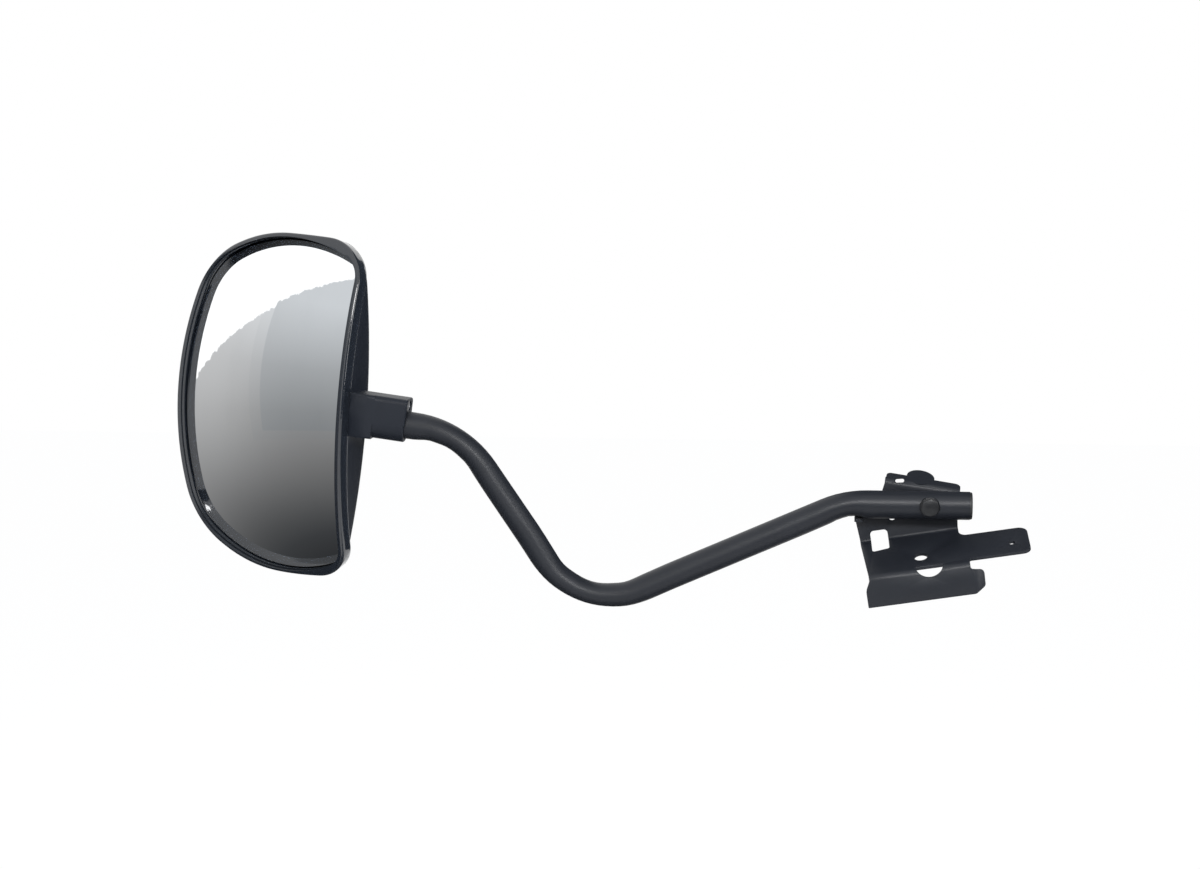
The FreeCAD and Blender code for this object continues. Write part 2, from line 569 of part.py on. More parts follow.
class DShape:
    """Closed outline of tangent arcs: six sides, with a rounded corner at four meetings.

    The top and the bottom each have a left and a right side that run into each other
    smoothly.  Radii of the sides: left, right, top left, top right, bottom left, bottom right.
    """

    def __init__(self, left, right, top, bottom, side_radii, corner_radii, top_turn=0.0):
        left_r, right_r, top_left_r, top_right_r, bottom_left_r, bottom_right_r = side_radii
        turn = math.radians(top_turn)
        normal = V(-math.sin(turn), 0, math.cos(turn))
        crown = V(TOP_CENTRE, 0, top - top_left_r)
        foot = V(TOP_CENTRE, 0, bottom_left_r - bottom)
        self.crown_normal = normal
        self.top_left = (crown, top_left_r)
        self.left = (V(left_r - left, 0, 0), left_r)
        self.bottom_left = (foot, bottom_left_r)
        self.bottom_right = (foot + Z * (bottom_right_r - bottom_left_r), bottom_right_r)
        self.right = (V(right - right_r, 0, 0), right_r)
        self.top_right = (crown - normal * (top_right_r - top_left_r), top_right_r)
        self.corner_radii = corner_radii

    def corner(self, one, other, radius, towards, grow):
        """Start, middle and end of the arc that rounds the meeting of two sides."""
        (centre_a, radius_a), (centre_b, radius_b) = one, other
        reach_a, reach_b = radius_a + grow - radius, radius_b + grow - radius
        centre = meeting(centre_a, reach_a, centre_b, reach_b, towards)
        start = centre + (centre - centre_a).normalize() * radius
        end = centre + (centre - centre_b).normalize() * radius
        middle = centre + ((start - centre) + (end - centre)).normalize() * radius
        return start, middle, end

    def wire(self, depth, grow=0.0):
        """The outline at a depth, its sides moved outwards by grow, its corners as round."""
        radii = self.corner_radii
        upper_left = self.corner(self.top_left, self.left, radii[0], V(-1, 0, 1), grow)
        lower_left = self.corner(self.left, self.bottom_left, radii[1], V(-1, 0, -1), grow)
        lower_right = self.corner(self.bottom_right, self.right, radii[2], V(1, 0, -1), grow)
        upper_right = self.corner(self.right, self.top_right, radii[3], V(1, 0, 1), grow)
        crown = self.top_left[0] + self.crown_normal * (self.top_left[1] + grow)
        foot = self.bottom_left[0] - Z * (self.bottom_left[1] + grow)
        spans = [(crown, self.top_left, upper_left[0]), (upper_left[2], self.left, lower_left[0]),
                 (lower_left[2], self.bottom_left, foot), (foot, self.bottom_right, lower_right[0]),
                 (lower_right[2], self.right, upper_right[0]), (upper_right[2], self.top_right, crown)]
        edges = []
        for start, (centre, radius), end in spans:
            middle = centre + ((start + end) * 0.5 - centre).normalize() * (radius + grow)
            edges.append(Part.Arc(start, middle, end))
        for place, join in ((5, upper_right), (4, lower_right), (2, lower_left), (1, upper_left)):
            edges.insert(place, Part.Arc(*join))
        wire = Part.Wire([edge.toShape() for edge in edges])
        wire.translate(Y * depth)
        return wire


GLASS_CORNERS = (CORNER_R_LEFT, CORNER_R_LEFT, CORNER_R_RIGHT, CORNER_R_RIGHT)
GLASS_SHAPE = DShape(GLASS_LEFT, GLASS_RIGHT, GLASS_TOP, GLASS_BOTTOM,
                     (SIDE_R_LEFT, SIDE_R_RIGHT, TOP_R, TOP_R, TOP_R, TOP_R), GLASS_CORNERS)
CARRIER_SHAPE = DShape(GLASS_LEFT - CARRIER_INSET, GLASS_RIGHT - CARRIER_INSET,
                       GLASS_TOP - CARRIER_INSET, GLASS_BOTTOM - CARRIER_INSET,
                       (SIDE_R_LEFT, SIDE_R_RIGHT, TOP_R, TOP_R, TOP_R, TOP_R), (CARRIER_CORNER_R,) * 4)
BORE_SHAPE = DShape(GLASS_LEFT + GLASS_GAP, GLASS_RIGHT + GLASS_GAP, GLASS_TOP + GLASS_GAP,
                    GLASS_BOTTOM + GLASS_GAP_BOTTOM,
                    (SIDE_R_LEFT + GLASS_GAP, SIDE_R_RIGHT + GLASS_GAP) + (TOP_R + GLASS_GAP,) * 4,
                    [radius + GLASS_GAP for radius in GLASS_CORNERS])
SKIN_SHAPE = DShape(GLASS_LEFT + RIM_LEFT, GLASS_RIGHT + RIM_RIGHT, GLASS_TOP + RIM_TOP,
                    GLASS_BOTTOM + RIM_BOTTOM,
                    (RIM_SIDE_R_LEFT, RIM_SIDE_R_RIGHT, RIM_TOP_R, RIM_TOP_R_RIGHT,
                     RIM_TOP_R, RIM_BOTTOM_R_RIGHT),
                    (RIM_CORNER_R_LEFT, RIM_CORNER_R_LEFT, RIM_CORNER_R_LOWER, RIM_CORNER_R_UPPER),
                    RIM_TOP_TURN)


def prism(shape, grow, front, back):
    """Straight-sided solid of a grown outline between two depths."""
    return Part.Face(shape.wire(front, grow)).extrude(Y * (back - front))


def drafted(inset, front, back):
    """Tapering body of the head, inside its outer skin by inset, between two depths."""
    fall = math.tan(math.radians(SHELL_DRAFT))
    wires = [SKIN_SHAPE.wire(depth, -inset - fall * (depth - RIM_LEVEL)) for depth in (front, back)]
    return Part.makeLoft(wires, True, True)


def dome(front_shift):
    """Ball whose front is parallel to the glass, that far behind its front face."""
    return Part.makeSphere(GLASS_R - front_shift, V(0, GLASS_R, 0), Z)


def back_form(inset):
    """Barrel that closes the head at the back, inside the outer skin by inset."""
    centre = V((GLASS_RIGHT - GLASS_LEFT) / 2, SHELL_DEPTH - BACK_R_TALL, BACK_MIDDLE)
    return Part.makeTorus(BACK_R_TALL - BACK_R_ACROSS, BACK_R_ACROSS - inset, centre, X)


FRONT, BACK = -30.0, 95.0


def bezel():
    behind = BEZEL_DEPTH - RIM_PROUD
    body = drafted(0, FRONT, BACK).common(dome(-RIM_PROUD))
    body = body.makeFillet(RIM_ROUND, [e for e in body.Edges if on_dome(e, -RIM_PROUD)])
    step = prism(BORE_SHAPE, RIM_STEP, FRONT, BACK).cut(dome(-RIM_PROUD / 2))
    body = body.cut(step).cut(dome(behind)).cut(prism(BORE_SHAPE, 0, FRONT, BACK))
    tongue = drafted(SHELL_WALL + 0.05, FRONT, BACK).cut(drafted(SHELL_WALL + BEZEL_TONGUE_T, FRONT, BACK))
    tongue = tongue.common(dome(behind)).cut(dome(behind + BEZEL_TONGUE))
    tongue = tongue.common(back_form(SHELL_WALL + LOOSE))
    tongue = tongue.cut(prism(BORE_SHAPE, 0, FRONT, BACK))
    tongue = max(tongue.Solids, key=lambda s: s.Volume)
    PARTS["bezel"] = placed(tidy(body.fuse(tongue)), HEAD_PLACE)


def on_dome(edge, shift):
    """True where an edge's middle lies on a dome's surface."""
    middle = edge.valueAt((edge.FirstParameter + edge.LastParameter) / 2)
    return abs((middle - V(0, GLASS_R, 0)).Length - (GLASS_R - shift)) < 0.01


POSTS = [(CARRIER_MIDDLE + x, z) for x in (-POST_X, POST_X) for z in (-POST_Z, POST_Z)]


def socket_body():
    """Round clamp barrel, its upper box and the fairing to the shell, in socket axes."""
    inward = -110.0
    barrel = cylinder(BARREL_R, V(inward, 0, 0), V(-SOCKET_SETBACK, 0, 0))
    barrel = barrel.makeFillet(1.5, [e for e in barrel.Edges if e.BoundBox.XMin > -SOCKET_SETBACK - 0.1])
    upper = box(V(inward, -BARREL_R, 0), V(0, BARREL_R, BOX_TOP))
    upper = upper.makeFillet(BOX_ROUND, [e for e in upper.Edges if e.BoundBox.ZMin > BOX_TOP - 0.1
                                         and e.BoundBox.XLength > 1])
    upper = upper.makeFillet(1.2, [e for e in upper.Edges if e.BoundBox.XMin > -0.1])
    wall_at = -52.0
    plan = [V(-26, 0, 0), V(-26, -BARREL_R, 0), V(-40, -BARREL_R - 3.5, 0), V(wall_at, -FAIRING_REACH, 0),
            V(inward, -FAIRING_REACH, 0), V(inward, 0, 0)]
    plan = [p + Z * -BARREL_R for p in plan]
    fairing = Part.Face(Part.makePolygon(plan + plan[:1])).extrude(Z * (BARREL_R + BOX_TOP))
    lengthwise = [e for e in fairing.Edges if e.BoundBox.YMax < -BARREL_R + 0.1
                  and e.BoundBox.ZLength < 0.01 and e.BoundBox.XLength > 5]
    fairing = fairing.makeFillet(3.0, lengthwise)
    return barrel.fuse(upper).fuse(fairing)


def socket_cuts():
    """Bore, wedge slot, screw hole and recess, in socket axes."""
    bore = cylinder(TUBE_R + 0.1, V(-SOCKET_BORE, 0, 0), V(20, 0, 0))
    roof_in, roof_out = SLOT_ROOF, SLOT_ROOF - SLOT_FALL
    side = [V(-SLOT_TO, -SLOT_HALF, 5), V(-SLOT_FROM, -SLOT_HALF, 5), V(-SLOT_FROM, -SLOT_HALF, roof_out),
            V(-SLOT_TO, -SLOT_HALF, roof_in)]
    slot = Part.Face(Part.makePolygon(side + side[:1])).extrude(Y * 2 * SLOT_HALF)
    hole = cylinder(CLAMP_SCREW_D / 2 + LOOSE, V(-SLOT_FROM - 1, 0, SCREW_Z), V(1, 0, SCREW_Z))
    recess = cylinder(RECESS_D / 2, V(-RECESS_DEPTH, 0, SCREW_Z), V(1, 0, SCREW_Z))
    return bore.multiFuse([slot, hole, recess])


def head_shell():
    behind = BEZEL_DEPTH - RIM_PROUD
    outer = drafted(0, FRONT, BACK).common(back_form(0))
    rear = [e for e in outer.Edges if e.BoundBox.YMin > 10]
    outer = outer.makeFillet(BACK_ROUND, rear)
    socket = placed(placed(socket_body(), SOCKET_PLACE), HEAD_PLACE.inverse())
    trimmer = drafted(SHELL_WALL, FRONT, BACK).common(back_form(SHELL_WALL))
    reach = box(V(0, -60, -80), V(200, 120, 80))
    outer = outer.fuse(socket.common(reach))
    shell = outer.common(dome(behind))
    shell = shell.cut(trimmer)
    bosses = []
    for x, z in POSTS:
        post = cylinder(POST_D / 2, V(x, POST_FACE, z), V(x, BACK, z)).common(trimmer)
        bosses.append(post.cut(cylinder(THREAD_R, V(x, POST_FACE, z), V(x, POST_FACE + SCREW_BITE + 1, z))))
    shell = shell.multiFuse(bosses)
    shell = placed(shell, HEAD_PLACE)
    PARTS["head_shell"] = tidy(shell.cut(placed(socket_cuts(), SOCKET_PLACE)))


# ---------------------------------------------------------------- glass and its carrier

def mirror_glass():
    glass = prism(GLASS_SHAPE, 0, FRONT, BACK).common(dome(0)).cut(dome(GLASS_T))
    PARTS["mirror_glass"] = placed(glass.Solids[0], HEAD_PLACE)
    pads = []
    for x in (-PAD_X, PAD_X):
        for z in (-PAD_Z, PAD_Z):
            middle = V(CARRIER_MIDDLE + x, 0, z)
            reach = V(PAD_W / 2, 0, PAD_H / 2)
            block = box(middle - reach + Y * FRONT, middle + reach + Y * BACK)
            pads.append(block.common(dome(GLASS_T)).cut(dome(GLASS_T + PAD_T)).Solids[0])
    PARTS["glass_adhesive"] = placed(Part.makeCompound(pads), HEAD_PLACE)


def glass_carrier():
    front = GLASS_T + PAD_T
    back = front + CARRIER_T
    plate = prism(CARRIER_SHAPE, 0, FRONT, BACK).common(dome(front)).cut(dome(back))
    middle = X * CARRIER_MIDDLE
    ribs = []
    for angle in (0, 45, 90, 135):
        rib = box(V(-RIB_REACH, 0, -RIB_T / 2), V(RIB_REACH, BACK, RIB_T / 2))
        ribs.append(placed(rib, turned(Y, angle, middle)))
    tie = ring(RING_D / 2, RING_D / 2 - RIB_T, middle + Y * FRONT, middle + Y * BACK)
    ribs = ribs[0].multiFuse(ribs[1:] + [tie])
    ribs = ribs.common(dome(back)).cut(dome(back + RIB_H)).common(prism(CARRIER_SHAPE, -RIB_T, FRONT, BACK))
    posts, cuts, screws = [], [], []
    for x, z in POSTS:
        foot = V(x, POST_FACE, z)
        seat = foot - Y * SCREW_SEAT
        posts.append(cylinder(POST_D / 2, V(x, 0, z), foot).common(dome(front)))
        cuts.append(cylinder(SCREW_HEAD_D / 2 + LOOSE, V(x, 0, z), seat))
        cuts.append(cylinder(CARRIER_SCREW_D / 2 + LOOSE, V(x, 0, z), foot))
        head = cylinder(SCREW_HEAD_D / 2, seat - Y * SCREW_HEAD_H, seat)
        drive = hexagon(SCREW_DRIVE, seat - Y * SCREW_HEAD_H, seat - Y * SCREW_HEAD_H / 2)
        shank = cylinder(CARRIER_SCREW_D / 2, seat, foot)
        thread = cylinder(THREAD_R, foot, foot + Y * SCREW_BITE)
        screws.append(head.cut(drive).fuse(shank).fuse(thread))
    carrier = plate.fuse(ribs).multiFuse(posts).cut(Part.makeCompound(cuts))
    PARTS["glass_carrier"] = placed(tidy(carrier), HEAD_PLACE)
    PARTS["carrier_screws"] = placed(Part.makeCompound(screws), HEAD_PLACE)


# ---------------------------------------------------------------- tube clamp

def clamp():
    def roof(x):
        return SLOT_ROOF - SLOT_FALL * (SLOT_TO - x) / (SLOT_TO - SLOT_FROM)
    half = SLOT_HALF - LOOSE
    side = [V(-WEDGE_TO, -half, 8), V(-WEDGE_FROM, -half, 8), V(-WEDGE_FROM, -half, roof(WEDGE_FROM)),
            V(-WEDGE_TO, -half, roof(WEDGE_TO))]
    wedge = Part.Face(Part.makePolygon(side + side[:1])).extrude(Y * 2 * half)
    wedge = wedge.cut(cylinder(TUBE_R + RUNNING, V(-60, 0, 0), V(10, 0, 0)))
    wedge = wedge.cut(cylinder(CLAMP_SCREW_D / 2 + LOOSE, V(-60, 0, SCREW_Z), V(10, 0, SCREW_Z)))
    PARTS["clamp_wedge"] = placed(wedge.Solids[0], SOCKET_PLACE)
    nut_half = NUT_SQUARE / 2
    nut = box(V(-WEDGE_TO - SQUARE_NUT_T, -nut_half, SCREW_Z - nut_half),
              V(-WEDGE_TO, nut_half, SCREW_Z + nut_half))
    nut = nut.cut(cylinder(CLAMP_SCREW_D / 2, V(-60, 0, SCREW_Z), V(0, 0, SCREW_Z)))
    PARTS["clamp_nut"] = placed(nut, SOCKET_PLACE)
    seat = -RECESS_DEPTH
    washer = ring(RECESS_D / 2 - 0.4, CLAMP_SCREW_D / 2 + 0.15, V(seat, 0, SCREW_Z),
                  V(seat + CLAMP_WASHER_T, 0, SCREW_Z))
    PARTS["clamp_washer"] = placed(washer, SOCKET_PLACE)
    under = seat + CLAMP_WASHER_T
    head = cylinder(CLAMP_HEAD_D / 2, V(under, 0, SCREW_Z), V(under + CLAMP_HEAD_H, 0, SCREW_Z))
    outer = [e for e in head.Edges if e.BoundBox.XMin > under + CLAMP_HEAD_H - 0.1]
    head = head.makeFillet(CLAMP_HEAD_ROUND, outer)
    hexa = hexagon(CLAMP_HEX, V(under + CLAMP_HEAD_H - CLAMP_HEX_DEPTH, 0, SCREW_Z),
                   V(under + CLAMP_HEAD_H + 1, 0, SCREW_Z))
    shank = cylinder(CLAMP_SCREW_D / 2, V(-WEDGE_TO - SQUARE_NUT_T - SCREW_TIP, 0, SCREW_Z), V(under, 0, SCREW_Z))
    PARTS["clamp_screw"] = placed(tidy(head.cut(hexa).fuse(shank)), SOCKET_PLACE)


# ---------------------------------------------------------------- build and export

def build():
    for make in (arm_tube, tube_plugs, pivot_hardware, bracket_plate, bezel, head_shell, mirror_glass,
                 glass_carrier, clamp):
        make()
    os.makedirs("parts", exist_ok=True)
    for name, shape in PARTS.items():
        moved = placed(shape, FreeCAD.Placement(SHELF_HOLE_UNDER * -1, FreeCAD.Rotation()))
        moved.exportStep(f"parts/{name}.step")
        size = moved.BoundBox
        print(f"{name:18s} solids {len(moved.Solids)}  valid {moved.isValid()}  "
              f"x {size.XMin:.1f}..{size.XMax:.1f}  y {size.YMin:.1f}..{size.YMax:.1f}  "
              f"z {size.ZMin:.1f}..{size.ZMax:.1f}")


build()
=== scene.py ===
"""Side mirror on a bent tube arm with its mounting bracket, dressed for rendering."""
import logging
import math
from dataclasses import dataclass, field
from enum import Enum
from typing import Callable, Iterable, Optional, Union

import bpy
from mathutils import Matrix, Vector


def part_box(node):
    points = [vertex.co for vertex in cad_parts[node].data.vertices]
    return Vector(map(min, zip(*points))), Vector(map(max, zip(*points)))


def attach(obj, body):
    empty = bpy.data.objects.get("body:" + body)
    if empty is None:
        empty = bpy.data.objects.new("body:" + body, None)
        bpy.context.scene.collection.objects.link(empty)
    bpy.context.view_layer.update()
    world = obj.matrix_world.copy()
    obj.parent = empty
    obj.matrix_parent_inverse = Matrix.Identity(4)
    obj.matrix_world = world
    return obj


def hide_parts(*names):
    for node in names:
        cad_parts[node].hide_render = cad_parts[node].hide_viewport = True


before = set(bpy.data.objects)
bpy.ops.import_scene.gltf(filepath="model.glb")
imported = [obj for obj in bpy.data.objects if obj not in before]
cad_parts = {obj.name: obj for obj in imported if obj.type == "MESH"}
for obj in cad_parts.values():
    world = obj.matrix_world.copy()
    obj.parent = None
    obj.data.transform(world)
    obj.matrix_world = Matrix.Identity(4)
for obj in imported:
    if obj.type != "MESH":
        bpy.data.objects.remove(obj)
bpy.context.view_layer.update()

LOG = logging.getLogger("mirror")
MM = 0.001
MERGE_DISTANCE = 0.002 * MM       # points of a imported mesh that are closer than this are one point
FLAT_ANGLE = math.radians(0.02)   # faces that meet at less than this are one flat face
BROKEN_ANGLE = math.radians(34)   # edges sharper than this are broken
SHARP_ANGLE = math.radians(32)    # edges sharper than this are shaded sharp
EDGE_STEPS = 2                    # segments across a broken edge
MIX_COLOUR_SOCKETS = (0, 6, 7)    # factor and colours of a Mix node that mixes colours
Colour = tuple[float, float, float]
Number = Union[int, float]


class Slot(Enum):
    """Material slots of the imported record."""

    POWDER = "powder_black"
    SHELL = "shell_black"
    BEZEL = "bezel_black"
    MIRROR = "mirror"
    BLACK_FASTENER = "fastener_black"
    ZINC = "fastener_zinc"
    CARRIER = "carrier_grey"
    CAP = "cap_black"
    BUSH = "bush_polymer"
    FOAM = "adhesive_foam"


class Body(Enum):
    """Bodies that the joints move."""

    BRACKET = "bracket"
    ARM = "arm"
    HEAD = "head"


# ---------------------------------------------------------------- shader graph


@dataclass(frozen=True)
class Wire:
    """A node's output that takes part in Python arithmetic by adding Math nodes."""

    graph: "Graph"
    socket: bpy.types.NodeSocket

    def _math(self, operation: str, *values: Union["Wire", Number]) -> "Wire":
        """Adds one Math node.

        Args:
            operation: Name of the Math node's operation.
            values: Its operands in order, wires or numbers.

        Returns:
            The node's result.
        """
        inputs = dict(enumerate(values))
        return self.graph.node("ShaderNodeMath", {"operation": operation}, inputs)[0]

    def __add__(self, other: Union["Wire", Number]) -> "Wire":
        """Sum."""
        return self._math("ADD", self, other)

    def __radd__(self, other: Number) -> "Wire":
        """Sum with the number first."""
        return self._math("ADD", other, self)

    def __sub__(self, other: Union["Wire", Number]) -> "Wire":
        """Difference."""
        return self._math("SUBTRACT", self, other)

    def __rsub__(self, other: Number) -> "Wire":
        """Difference from a number."""
        return self._math("SUBTRACT", other, self)

    def __mul__(self, other: Union["Wire", Number]) -> "Wire":
        """Product."""
        return self._math("MULTIPLY", self, other)

    def __truediv__(self, other: Union["Wire", Number]) -> "Wire":
        """Quotient."""
        return self._math("DIVIDE", self, other)

    def clamp(self, low: Number = 0, high: Number = 1) -> "Wire":
        """Value kept between two numbers."""
        return self._math("MINIMUM", self.maximum(low), high)

    def step(self, low: Number, high: Number) -> "Wire":
        """Smooth rise from 0 at low to 1 at high."""
        return self.graph.node("ShaderNodeMapRange", {"interpolation_type": "SMOOTHSTEP"},
                               {"Value": self, "From Min": low, "From Max": high})[0]

    def maximum(self, other: Union["Wire", Number]) -> "Wire":
        """Larger of two values."""
        return self._math("MAXIMUM", self, other)


Value = Union[Wire, Number, tuple[float, ...]]


class Graph:
    """Nodes of one material or of the world."""

    def __init__(self, tree: bpy.types.NodeTree) -> None:
        """Starts from an empty tree.

        Args:
            tree: Node tree to fill.
        """
        self.tree = tree
        tree.nodes.clear()
        self._coordinates: Optional[Wire] = None

    def node(self, kind: str, settings: Optional[dict[str, object]] = None,
             inputs: Optional[dict[Union[str, int], Value]] = None) -> list[Wire]:
        """Adds a node.

        Args:
            kind: Type of the node.
            settings: Properties, set before the sockets.
            inputs: Values or wires for its sockets, by name or number.

        Returns:
            Its outputs that are in use, in order.
        """
        made = self.tree.nodes.new(kind)
        for name, value in (settings or {}).items():
            if name == "stops":
                self._ramp(made, value)
            else:
                setattr(made, name, value)
        for name, value in (inputs or {}).items():
            socket = made.inputs[name]
            if isinstance(value, Wire):
                self.tree.links.new(value.socket, socket)
            elif isinstance(value, tuple) and socket.type == "RGBA":
                socket.default_value = (*value[:3], 1.0)
            else:
                socket.default_value = value
        return [Wire(self, output) for output in made.outputs if output.enabled]

    @staticmethod
    def _ramp(made: bpy.types.Node, stops: list[tuple[float, Colour]]) -> None:
        """Sets a colour ramp's stops.

        Args:
            made: Colour ramp node.
            stops: Position and colour of each stop, from low to high.
        """
        elements = made.color_ramp.elements
        (first, first_colour), (last, last_colour), *others = stops[0], stops[-1], *stops[1:-1]
        elements[0].position, elements[0].color = first, (*first_colour, 1.0)
        elements[1].position, elements[1].color = last, (*last_colour, 1.0)
        for position, colour in others:
            elements.new(position).color = (*colour, 1.0)

    @property
    def place(self) -> Wire:
        """Object coordinates."""
        if self._coordinates is None:
            outputs = self.tree.nodes.new("ShaderNodeTexCoord").outputs
            self._coordinates = Wire(self, outputs["Object"])
        return self._coordinates

    def noise(self, size: float, detail: float = 3.0, roughness: float = 0.55,
              stretch: tuple[float, float, float] = (1, 1, 1)) -> Wire:
        """Noise between 0 and 1.

        Args:
            size: Width of its features in metres.
            detail: Number of octaves.
            roughness: Share of the finer octaves.
            stretch: Factor on the pattern's frequency along each axis.

        Returns:
            The noise's value.
        """
        place = self.node("ShaderNodeMapping", {}, {"Vector": self.place, "Scale": stretch})[0]
        return self.node("ShaderNodeTexNoise", {}, {"Vector": place, "Scale": 1 / size, "Detail": detail,
                                                    "Roughness": roughness})[0]

    def cells(self, size: float) -> Wire:
        """Distance to the nearest of scattered points, in shares of their spacing."""
        inputs = {"Vector": self.place, "Scale": 1 / size}
        return self.node("ShaderNodeTexVoronoi", {"feature": "F1"}, inputs)[0]

    def axes(self) -> list[Wire]:
        """X, Y and Z of the object coordinates."""
        return self.node("ShaderNodeSeparateXYZ", {}, {"Vector": self.place})

    def blend(self, factor: Value, first: Value, second: Value) -> Wire:
        """Mixes two colours.

        Args:
            factor: 0 for the first colour, 1 for the second.
            first: Colour or wire.
            second: Colour or wire.

        Returns:
            The mixed colour.
        """
        inputs = dict(zip(MIX_COLOUR_SOCKETS, (factor, first, second)))
        return self.node("ShaderNodeMix", {"data_type": "RGBA"}, inputs)[0]

    def bump(self, height: Wire, depth: float) -> Wire:
        """Normal bent by a height, which is a share of the relief's depth in metres."""
        return self.node("ShaderNodeBump", {}, {"Height": height, "Distance": depth})[0]

    def surface(self, sockets: dict[str, Value]) -> None:
        """Ends the tree in a Principled shader.

        Args:
            sockets: Values or wires of the shader's sockets.
        """
        shader = self.node("ShaderNodeBsdfPrincipled", {}, sockets)[0]
        self.node("ShaderNodeOutputMaterial", {}, {"Surface": shader})


# -------------------------------------------------------------------- finishes


@dataclass(frozen=True)
class Finish:
    """A surface finish with a name and a base colour."""

    name: str
    colour: Colour

    def tone(self, factor: float, lift: float = 0.0) -> Colour:
        """Base colour made lighter or darker by a factor and a lift."""
        red, green, blue = (channel * factor + lift for channel in self.colour)
        return red, green, blue

    def sockets(self, graph: Graph) -> dict[str, Value]:
        """Shader sockets of the finish, overridden by each kind of finish."""
        raise NotImplementedError

    def material(self) -> bpy.types.Material:
        """Makes the material once and returns the same one afterwards.

        Returns:
            The finish's material.
        """
        made = bpy.data.materials.get(self.name)
        if made is None:
            made = bpy.data.materials.new(self.name)
            made.use_nodes = True
            graph = Graph(made.node_tree)
            graph.surface(self.sockets(graph))
        return made


@dataclass(frozen=True)
class PowderCoat(Finish):
    """Baked powder coat with fine orange peel and faint handling marks."""

    roughness: float = 0.38
    peel_size: float = 1.5 * MM
    peel_depth: float = 0.009 * MM
    drift_size: float = 38 * MM
    grit_size: float = 0.5 * MM
    mark_size: float = 9 * MM
    level: float = 0.3

    def sockets(self, graph: Graph) -> dict[str, Value]:
        """Colour drifts slowly, gloss varies in patches and the skin has orange peel.

        Args:
            graph: Graph to add to.

        Returns:
            Shader sockets.
        """
        drift = graph.noise(self.drift_size, 2)
        grit = graph.noise(self.grit_size, 2)
        marks = graph.noise(self.mark_size, 5, 0.7, (1, 1, 2.2)).step(0.56, 0.74)
        colour = graph.blend((drift * 0.8 + grit * 0.25).clamp(), self.colour, self.tone(1.55, 0.0012))
        peel = graph.noise(self.peel_size, 2, 0.4)
        return {"Base Color": colour,
                "Roughness": self.roughness + (drift - 0.5) * 0.12 + grit * 0.05 - marks * 0.06,
                "Normal": graph.bump(peel * 0.8 + grit * 0.2, self.peel_depth),
                "Specular IOR Level": self.level}


@dataclass(frozen=True)
class GrainedPlastic(Finish):
    """Injection-moulded plastic with a fine spark-eroded grain."""

    roughness: float = 0.4
    grain_size: float = 0.55 * MM
    grain_depth: float = 0.02 * MM
    flow_size: float = 26 * MM
    level: float = 0.2

    def sockets(self, graph: Graph) -> dict[str, Value]:
        """Fine pebbles with shallow valleys, faint flow marks along the moulding.

        Args:
            graph: Graph to add to.

        Returns:
            Shader sockets.
        """
        pebble = graph.cells(self.grain_size)
        flow = graph.noise(self.flow_size, 4, 0.6, (1, 1, 0.35))
        fine = graph.noise(self.grain_size * 0.6, 2)
        colour = graph.blend((flow * 0.7 + pebble * 0.3).clamp(), self.colour, self.tone(1.5, 0.001))
        return {"Base Color": colour,
                "Roughness": self.roughness + (flow - 0.5) * 0.1 + fine * 0.06,
                "Normal": graph.bump(pebble * 0.7 + fine * 0.3, self.grain_depth),
                "Specular IOR Level": self.level}


@dataclass(frozen=True)
class GlossPlastic(Finish):
    """Polished moulding with a faint ripple, hairline scratches and dust."""

    roughness: float = 0.1
    ripple_size: float = 26 * MM
    ripple_depth: float = 0.012 * MM
    dust_size: float = 7 * MM
    hair_size: float = 24 * MM
    level: float = 0.8

    def sockets(self, graph: Graph) -> dict[str, Value]:
        """Long soft ripples in the normal, dust that dulls the gloss in patches.

        Args:
            graph: Graph to add to.

        Returns:
            Shader sockets.
        """
        wave = graph.noise(self.ripple_size, 1, 0.3)
        dust = graph.noise(self.dust_size, 3, 0.6).step(0.55, 0.85)
        hair = graph.noise(self.hair_size, 2, 0.5, (7, 1, 0.5)).step(0.6, 0.75)
        colour = graph.blend((dust * 0.15 + wave * 0.25).clamp(), self.colour, self.tone(1.8, 0.003))
        return {"Base Color": colour,
                "Roughness": self.roughness + dust * 0.03 + hair * 0.03,
                "Normal": graph.bump(wave, self.ripple_depth),
                "Specular IOR Level": self.level}


@dataclass(frozen=True)
class MirrorGlass(Finish):
    """Silvered convex glass with faint smears and specks."""

    smear_colour: Colour = (0.32, 0.37, 0.36)
    roughness: float = 0.01
    smear_size: float = 30 * MM
    speck_size: float = 0.9 * MM
    ripple_size: float = 60 * MM
    ripple_depth: float = 0.01 * MM

    def sockets(self, graph: Graph) -> dict[str, Value]:
        """Mirror with faint smears in its gloss and a very long ripple.

        Args:
            graph: Graph to add to.

        Returns:
            Shader sockets.
        """
        smear = graph.noise(self.smear_size, 4, 0.6, (1, 1, 0.4))
        specks = graph.noise(self.speck_size, 3, 0.6).step(0.7, 0.82)
        wave = graph.noise(self.ripple_size, 1)
        dulled = (smear.step(0.45, 0.9) * 0.05 + specks * 0.06).clamp()
        colour = graph.blend(dulled, self.colour, self.smear_colour)
        return {"Base Color": colour, "Metallic": 1.0,
                "Roughness": self.roughness + smear.step(0.4, 0.9) * 0.008 + specks * 0.03,
                "Normal": graph.bump(wave, self.ripple_depth)}


